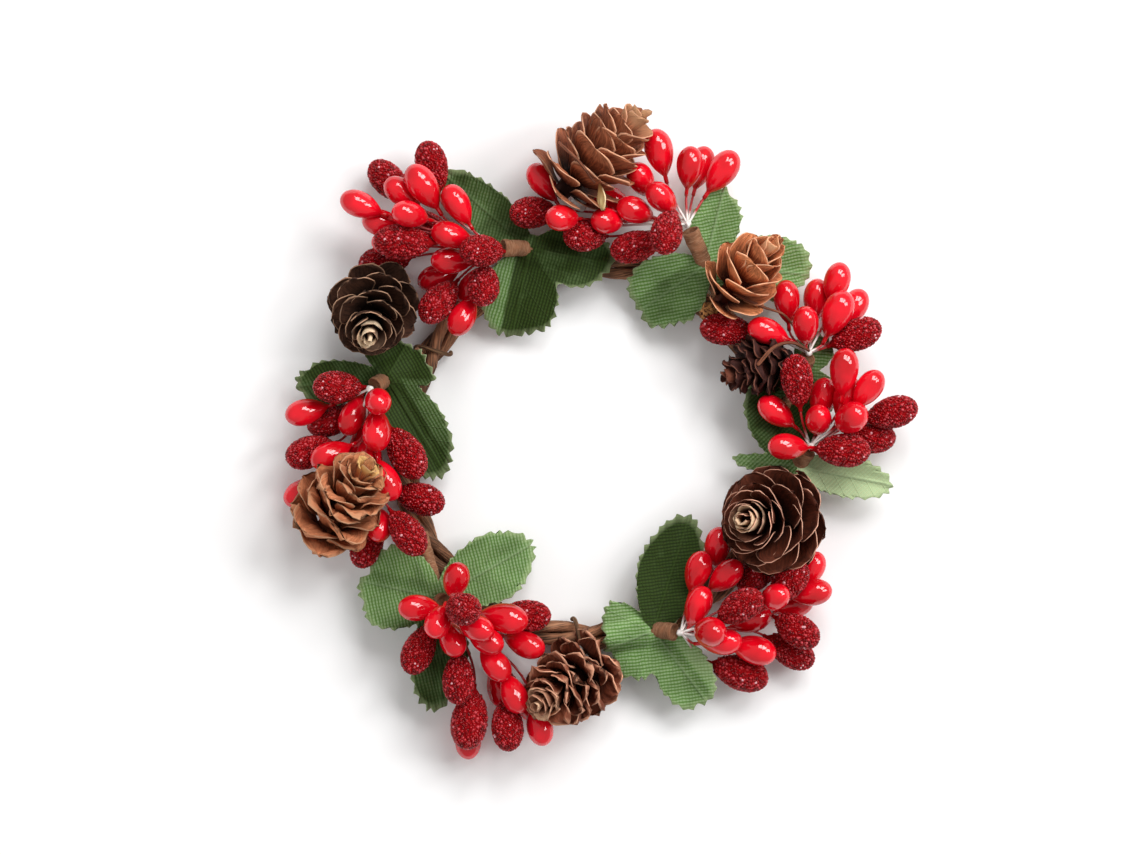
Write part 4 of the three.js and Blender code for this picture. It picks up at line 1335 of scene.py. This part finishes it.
# How a cone has opened and aged: its number of scales, and from its base to its tip the angle
# they stand off the axis, their lengths and widths; how flat, how pointed and how wavy they are,
# how far they cup and how far their tips turn back; how worn their rims are; and the colours of
# a scale's root, face and rim, and of the bud at the cone's tip.
Make = namedtuple("Make", "count openings lengths widths flat point ruffle curl flare worn colours")
MAKES = {
    "closed": Make(33, (90, 64, 48, 42, 34, 14), (10.5, 11.5, 12.5, 12, 10.5, 8.5),
                   (12, 15, 15.5, 14.5, 12.5, 9.5), 1.7, 0.42, 0.7, 0.26, 0.18, 0.3,
                   (srgb(44, 20, 12), srgb(168, 98, 66), srgb(222, 162, 126),
                    srgb(206, 154, 114))),
    "russet": Make(24, (64, 52, 41, 31, 20, 4), (9.5, 12, 12.5, 12, 10.5, 9),
                   (12, 15, 15.5, 14.5, 12, 10), 1.7, 0.55, 0.5, 0.24, 0.12, 0.2,
                   (srgb(76, 28, 14), srgb(226, 132, 86), srgb(246, 180, 138),
                    srgb(244, 184, 138))),
    "fresh": Make(31, (70, 59, 47, 38, 27, 10), (9.5, 11.5, 12, 11.5, 10.5, 7.5),
                  (15.5, 17, 16, 14.5, 12, 7.5), 1.4, 0.3, 2.6, 0.3, 0.34, 0.5,
                  (srgb(128, 72, 46), srgb(190, 120, 82), srgb(206, 152, 114),
                   srgb(236, 190, 122))),
    "brown": Make(46, (80, 70, 59, 50, 38, 10), (9, 10.5, 11, 10.8, 9.8, 7),
                  (10, 12, 12.5, 12, 10.5, 7.5), 1, 0.1, 2.4, 0.3, 0.25, 0.55,
                  (srgb(56, 24, 14), srgb(132, 72, 50), srgb(236, 172, 138),
                   srgb(248, 202, 164))),
    "dark": Make(40, (80, 72, 61, 50, 34, 12), (10.8, 12.2, 12.1, 10.9, 8.8, 6.7),
                 (12, 14.5, 15, 13, 10, 6), 1, 0.0, 0.5, 0.3, 0.1, 0.15,
                 (srgb(34, 14, 8), srgb(98, 47, 30), srgb(236, 176, 148),
                  srgb(252, 216, 178))),
    "sooty": Make(36, (84, 74, 62, 50, 34, 12), (10, 11.5, 11.5, 10.5, 8.5, 6.5),
                  (10.5, 13, 13, 11.5, 9, 6), 1, 0.0, 0.6, 0.3, 0.1, 0.3,
                  (srgb(26, 14, 9), srgb(74, 47, 34), srgb(184, 142, 112),
                   srgb(248, 220, 184))),
    "husk": Make(34, (80, 72, 61, 50, 34, 12), (11.5, 13.2, 13.2, 12, 9.7, 7.2),
                 (12, 14.5, 15, 13, 10, 6), 1, 0.2, 1.6, 0.3, 0.2, 0.15,
                 (srgb(20, 8, 6), srgb(64, 28, 22), srgb(132, 78, 60),
                  srgb(120, 66, 48))),
    "flake": Make(1, (90, 90), (6.8, 6.8), (2.8, 2.8), 1, 0.6, 0.5, 0.2, 0.1, 0.2,
                  (srgb(190, 140, 84), srgb(232, 192, 138), srgb(244, 218, 172),
                   srgb(244, 218, 172))),
}

CONE_LENGTH = 28
# The wood inside a cone, as (share of its length, radius), and its scales' roots from its base to
# its tip.
CORE = ((-0.5, 0), (-0.5, 1.1), (-0.47, 2.2), (-0.3, 2.7), (0, 2.8), (0.25, 2), (0.43, 1.1),
        (0.47, 0))
CORE_SIDES = 12
SCALE_ROOTS = (-0.44, 0.34)
SCALE_CROWDING = 1.15
SCALE_ROOT_RADII = (2.4, 2.5, 2.4, 2.1, 1.7, 1.0)
SCALE_CURVATURES = (9, 9, 8, 6.5, 4.5, 3)
# Columns of a scale go across its inner face and back across its outer one.
SCALE_COLUMNS = 22
FACE_COLUMNS = SCALE_COLUMNS // 2
# Its rows crowd towards its tip by this power, and the first one lies inside the core, at this
# share of the core's radius.
SCALE_ROWS = 9
ROW_CROWDING = 1.5
ROOT_DEPTH = 0.5
# How much one scale differs from the next: its opening in degrees, its length and width as
# shares, and its twist.
OPENING_JITTER = 6
LENGTH_RANGE = (0.93, 1.04)
WIDTH_RANGE = (0.9, 1.04)
TWIST = 0.12
# The farthest that half a scale wraps round its bend, in radians.
GREATEST_BEND = 1.5
# Unevenness of a scale's length, and that of its worn end.
RAGGED = 0.09
CHIPPED = 0.2
LOWEST_SCALE = 0.4
# From this share of the way to the tip, the scales wrap round the axis as a bud. Some of them are
# pale from this share of their length.
BUD_START = 0.78
BUD_BLEND = 0.12
BUD_PALENESS = (0.15, 0.9, 1)
BUD_PALE_START = 0.35
BUD_PALE_BLEND = 0.3
# A face is part of the thin edge where all its corners are marked above this.
RIM_MARK = 0.99


class WREATH_OT_cones(bpy.types.Operator):
    """Build the open cones scale by scale"""

    bl_idname = "wreath.cones"
    bl_label = "Cones"

    def execute(self, context):
        settings = context.scene.wreath_cone
        for number, spot in enumerate(CONES, 1):
            bm = open_cone(spot, settings, random.Random(number))
            woods = [scale_finish(spot.age), rim_finish(spot.age)]
            finished(f"open_cone_{number}", bm, woods, f"cone_{number}")
        return {"FINISHED"}


def scale_half(share, point):
    """Half the width of a scale along its length, as a share of its greatest half."""
    if share < 0.6:
        blunt = lerp(0.3, 1, smooth(share / 0.6))
    else:
        blunt = max(1 - ((share - 0.6) / 0.4) ** 2.6, 0) ** 0.5
    keen = lerp(0.35, 1, smooth(share / 0.55)) if share < 0.55 else ((1 - share) / 0.45) ** 0.8
    return lerp(blunt, keen, point)


def cone_scale(axis, outward, height, share, size, make, settings, rng):
    """One cupped woody scale, from its root on the core to its tip."""
    jitter = rng.uniform(-OPENING_JITTER, OPENING_JITTER)
    opening = math.radians(table_value(make.openings, share) + jitter)
    length = size * table_value(make.lengths, share) * rng.uniform(*LENGTH_RANGE)
    width = size * table_value(make.widths, share) * rng.uniform(*WIDTH_RANGE)
    round_to = size * table_value(SCALE_CURVATURES, share) * make.flat
    root = size * table_value(SCALE_ROOT_RADII, share)
    budding = smooth((share - BUD_START) / BUD_BLEND)
    side = axis.cross(outward)
    forth = axis * math.cos(opening) + outward * math.sin(opening)
    lift = axis * math.sin(opening) - outward * math.cos(opening)
    start = axis * height + outward * root
    twist = rng.uniform(-TWIST, TWIST) * (1 - budding)
    tone, seed, pale = rng.random(), rng.random() * 50, rng.choice(BUD_PALENESS)

    def spread(u):
        """How far across a scale a column lies, from -1 to 1, and on which of its faces."""
        column = round(u * SCALE_COLUMNS) % SCALE_COLUMNS
        if column < FACE_COLUMNS:
            return 2 * column / (FACE_COLUMNS - 1) - 1, 0.5
        return 2 * (SCALE_COLUMNS - 1 - column) / (FACE_COLUMNS - 1) - 1, -0.5

    def cup(far):
        return length * (make.curl * far**2 - make.flare * far**4)

    def place(u, v):
        if v == 0:
            return axis * height + outward * root * ROOT_DEPTH
        over, layer = spread(u) if v < LAST_ROW else (0, 0)
        far = 1 - (1 - v) ** ROW_CROWDING
        across = over * width / 2 * scale_half(far, make.point)
        off_axis = root + length * far * math.sin(opening) - cup(far) * math.cos(opening)
        bend = lerp(round_to, max(off_axis, 0.6 + 2.4 * make.point), budding)
        turn = min(max(across / bend, -GREATEST_BEND), GREATEST_BEND)
        wave = rough(over * 1.8, far * 3, seed) + 0.5 * rough(over * 4, far * 4, seed)
        wave *= 1 - 0.8 * budding
        rise = bend * (1 - math.cos(turn)) + cup(far) + twist * across
        rise += make.ruffle * wave * far + layer * settings.thickness / MM
        ragged = 1 + RAGGED * rough(over * 2.5, far * 5, seed + 9)
        ragged += CHIPPED * make.worn * far**3 * rough(over * 8, far * 5, seed + 20)
        return start + forth * length * far * ragged + side * bend * math.sin(turn) + lift * rise

    def marks(u, v):
        rim = max(abs(spread(u)[0]), v) ** 5
        return tone, rim, budding * pale * smooth((v - BUD_PALE_START) / BUD_PALE_BLEND)

    bm = welded(grid(SCALE_COLUMNS, SCALE_ROWS, place, ("tone", "rim", "bud"), marks))
    layer = bm.verts.layers.float["rim"]
    for face in bm.faces:
        if all(vert[layer] > RIM_MARK for vert in face.verts):
            face.material_index = 1
    return bm


def open_cone(spot, settings, rng):
    """A cone with its scales in the golden-angle order, from the base to the tip."""
    make, size, (middle, axis) = MAKES[spot.age], spot.at.size, PLACES[spot.at]
    turn = Vector((0, 1, 0)).rotation_difference(axis)
    outline = [(along * CONE_LENGTH * size, radius * size) for along, radius in CORE]
    core = lathed(outline, CORE_SIDES, "tone")
    for mark in ("rim", "bud"):
        core.verts.layers.float.new(mark)
    bmesh.ops.transform(core, matrix=aimed((0, 0, 0), axis), verts=core.verts)
    parts = [core]
    for n in range(make.count):
        share = n / (make.count - 1)
        height = CONE_LENGTH * size * lerp(*SCALE_ROOTS, share**SCALE_CROWDING)
        around = n * GOLDEN_ANGLE
        outward = turn @ Vector((math.sin(around), 0, math.cos(around)))
        parts.append(cone_scale(axis, outward, height, share, size, make, settings, rng))
    whole = gathered(map(as_mesh, parts))
    bmesh.ops.translate(whole, vec=middle, verts=whole.verts)
    for vert in whole.verts:
        vert.co.z = max(vert.co.z, LOWEST_SCALE)
    return whole


# Scraps and glue

# Twigs as (name, points seen from above, radius, pieces they lie on).
TWIGS = (
    ("loose_needle", ((-8.9, 84.8), (-3.4, 79.6), (1.2, 73.6)), 0.5, ("open_cone_1",)),
    ("loose_twig", ((39.4, 43.5), (47.9, 39.5), (53.4, 37.6), (57, 33.6)), 0.45,
     ("open_cone_2", "lacquered_berries_2", "berry_threads_3")),
    ("dry_curl", ((46, 23.4), (50.9, 28.6), (56, 29.6), (60.5, 27.4)), 0.55,
     ("open_cone_7", "lacquered_berries_3", "sugared_beads_4")),
)
TWIG_BARK = (srgb(120, 60, 42), srgb(196, 116, 84))
TWIG_FIBRES = (4, 18)
TWIG_POINTS = 16
TWIG_ROWS = 14
TWIG_SIDES = 10
TWIG_TAPER = (1, 0.7)
# How far a twig drops for each millimetre of its way, and how high its middle lies above the
# pieces below it, as a share of its radius.
STEEPEST = 0.45
TWIG_LIFT = 0.8
# Higher than any piece, for a look straight down.
ABOVE_ALL = 60
# Where the flake is seen from above, how it leans and how far it stands off the cone.
FLAKE_PLACE = (2.2, 75.4)
FLAKE_LEAN = (0.2, -1, -0.15)
FLAKE_LIFT = 1
FLAKE_SEED = 5
STUB_PLACE = (33.6, 38.2, 10.6)
STUB_RADIUS = 3.2
STUB_SQUASH = 0.8
GLUE_RADIUS = 2.6


class WREATH_OT_scraps(bpy.types.Operator):
    """Lay the twigs, the flake and the broken stalk among the cones"""

    bl_idname = "wreath.scraps"
    bl_label = "Scraps"

    def execute(self, context):
        twig = bark_finish("twig_bark", *TWIG_BARK, TWIG_FIBRES)
        for name, points, radius, under in TWIGS:
            route = over_pieces(points, surfaces(*under), radius)
            bm = rod(partial(through, route), tapered(radius), TWIG_SIDES)
            finished(name, bm, [twig])
        woods = [scale_finish("flake"), rim_finish("flake")]
        finished("cone_flake", flake(context.scene.wreath_cone), woods)
        finished("cone_stalk", stub(), [stub_finish()])
        return {"FINISHED"}


def surfaces(*names):
    depsgraph = bpy.context.evaluated_depsgraph_get()
    return [BVHTree.FromObject(bpy.data.objects[name], depsgraph) for name in names]


def top_at(trees, x, y):
    """The highest point of some pieces at a place seen from above, in ring millimetres."""
    start = TO_FRAME @ Vector((x, y, ABOVE_ALL))
    hits = [tree.ray_cast(start, -UP)[0] for tree in trees]
    return max([(hit.z / MM + FRAME_DROP) for hit in hits if hit] + [VINE_TOP])


def over_pieces(points, trees, radius):
    """Points of a curve seen from above, laid on the pieces below it without a steep drop."""
    flat = evenly([Vector((*point, 0)) for point in points], TWIG_POINTS)
    tops = [top_at(trees, spot.x, spot.y) for spot in flat]
    return [spot + UP * (radius * TWIG_LIFT + max(top - STEEPEST * (other - spot).length
                                                  for other, top in zip(flat, tops)))
            for spot in flat]


def tapered(radius):
    """Stations of a rod with round ends that thins towards its far end."""
    _, _, *rows, end = capped(TWIG_ROWS, lambda t: radius * lerp(*TWIG_TAPER, t))
    return [(0, 0), (0, radius * 0.6), (0.02, radius), *rows, (1, radius * 0.4), end]


def flake(settings):
    """A loose scale that leans on the first cone."""
    x, y = FLAKE_PLACE
    lean = Vector(FLAKE_LEAN).normalized()
    bm = cone_scale(lean.orthogonal().cross(lean), lean, 0, 0, 1, MAKES["flake"], settings,
                    random.Random(FLAKE_SEED))
    height = top_at(surfaces("open_cone_1"), x, y) + FLAKE_LIFT
    bmesh.ops.translate(bm, vec=(x, y, height), verts=bm.verts)
    return bm


def stub():
    """The broken end of a stalk, a little flatter than it is wide."""
    bm = lump(STUB_RADIUS, subdivisions=4, uneven=0.22, waves=0.9)
    for vert in bm.verts:
        vert.co.z *= STUB_SQUASH
    bmesh.ops.translate(bm, vec=STUB_PLACE, verts=bm.verts)
    return bm


class WREATH_OT_glue(bpy.types.Operator):
    """Set the dabs of glue that hold the cones"""

    bl_idname = "wreath.glue"
    bl_label = "Glue"

    def execute(self, context):
        glue = glue_finish()
        for number, spot in enumerate(CONES, 1):
            bm = lump(GLUE_RADIUS, subdivisions=3, uneven=0.3, waves=0.45, shift=number * 5)
            bmesh.ops.translate(bm, vec=spot.glue, verts=bm.verts)
            finished(f"glue_dab_{number}", bm, [glue], f"cone_glue_{number}")
        return {"FINISHED"}


# Stage

VIEW_MIDDLE = (-5.6, 6.3)
SENSOR_WIDTH = 36
# How far the floor reaches from its middle, and how far the camera sees, in metres.
FLOOR_REACH = 3
SIGHT = 20
ROOM_COLOUR = (1, 0.99, 0.98, 1)
ROOM_STRENGTH = 0.4
# Lights as (name, place in metres, width, height, watts, seen in reflections).
LIGHTS = (
    ("window_left", (0.12, 0.72, 0.85), 0.32, 0.52, 4.6, True),
    ("window_middle", (0.5, 0.56, 0.85), 0.32, 0.52, 5.2, True),
    ("window_right", (0.78, 0.18, 0.8), 0.32, 0.52, 4.6, True),
    ("fill", (-0.75, -0.35, 0.7), 0.7, 0.5, 2.0, False),
)


class WREATH_OT_stage(bpy.types.Operator):
    """Lay the floor and set the lights and the camera"""

    bl_idname = "wreath.stage"
    bl_label = "Stage"

    def execute(self, context):
        scene, settings = context.scene, context.scene.wreath_stage
        lay_floor(scene, settings)
        for light in LIGHTS:
            hang_light(scene, *light)
        scene.world = bpy.data.worlds.new("pale_room")
        scene.world.use_nodes = True
        background = scene.world.node_tree.nodes["Background"]
        background.inputs["Color"].default_value = ROOM_COLOUR
        background.inputs["Strength"].default_value = ROOM_STRENGTH
        scene.view_settings.view_transform = "Standard"
        set_camera(scene, settings)
        return {"FINISHED"}


def lay_floor(scene, settings):
    bm = bmesh.new()
    bmesh.ops.create_grid(bm, x_segments=1, y_segments=1, size=FLOOR_REACH)
    mesh = as_mesh(bm)
    paper = Finish("paper_floor", Roughness=0.9, Specular_IOR_Level=0.1, Base_Color=settings.floor)
    mesh.materials.append(paper.material)
    floor = bpy.data.objects.new("floor", mesh)
    scene.collection.objects.link(floor)


def hang_light(scene, name, place, width, height, watts, mirrored):
    """A soft rectangle of light that faces the wreath."""
    data = bpy.data.lights.new(name, "AREA")
    data.shape = "RECTANGLE"
    data.size, data.size_y, data.energy = width, height, watts
    light = bpy.data.objects.new(name, data)
    light.location = place
    light.rotation_euler = (-Vector(place)).to_track_quat("-Z", "Y").to_euler()
    light.visible_glossy = mirrored
    scene.collection.objects.link(light)


def set_camera(scene, settings):
    """A camera straight above the wreath, as far off as a long lens stands."""
    data = bpy.data.cameras.new("camera")
    data.sensor_width = SENSOR_WIDTH
    data.lens = SENSOR_WIDTH * settings.distance / settings.frame_width
    data.clip_end = SIGHT
    camera = bpy.data.objects.new("camera", data)
    place = TO_FRAME @ Vector((*VIEW_MIDDLE, 0))
    camera.location = (place.x, place.y, settings.distance)
    scene.collection.objects.link(camera)
    scene.camera = camera


# Add-on


class WREATH_PT_panel(bpy.types.Panel):
    """The steps that build the wreath, and their settings"""

    bl_idname = "WREATH_PT_panel"
    bl_label = "Pinecone wreath"
    bl_space_type = "VIEW_3D"
    bl_region_type = "UI"
    bl_category = "Wreath"

    def draw(self, context):
        for settings in SETTINGS:
            group = getattr(context.scene, settings)
            for key in group.__annotations__:
                self.layout.prop(group, key)
        for step in STEPS:
            self.layout.operator(step.bl_idname)


SETTINGS = {
    "wreath_vine": VineSettings,
    "wreath_leaf": LeafSettings,
    "wreath_berry": BerrySettings,
    "wreath_cone": ConeSettings,
    "wreath_stage": StageSettings,
}
STEPS = (
    WREATH_OT_vine, WREATH_OT_stems, WREATH_OT_leaves, WREATH_OT_glossy_berries,
    WREATH_OT_frosted_berries, WREATH_OT_threads, WREATH_OT_cones, WREATH_OT_scraps,
    WREATH_OT_glue, WREATH_OT_stage,
)


def register():
    for item in (*SETTINGS.values(), *STEPS, WREATH_PT_panel):
        bpy.utils.register_class(item)
    for name, group in SETTINGS.items():
        setattr(bpy.types.Scene, name, PointerProperty(type=group))


def unregister():
    for name in SETTINGS:
        delattr(bpy.types.Scene, name)
    for item in (WREATH_PT_panel, *reversed(STEPS), *SETTINGS.values()):
        bpy.utils.unregister_class(item)


def main():
    """Builds every piece in order."""
    register()
    for step in STEPS:
        group, name = step.bl_idname.split(".")
        getattr(getattr(bpy.ops, group), name)()
    bpy.context.view_layer.update()


if __name__ == "__main__":
    main()
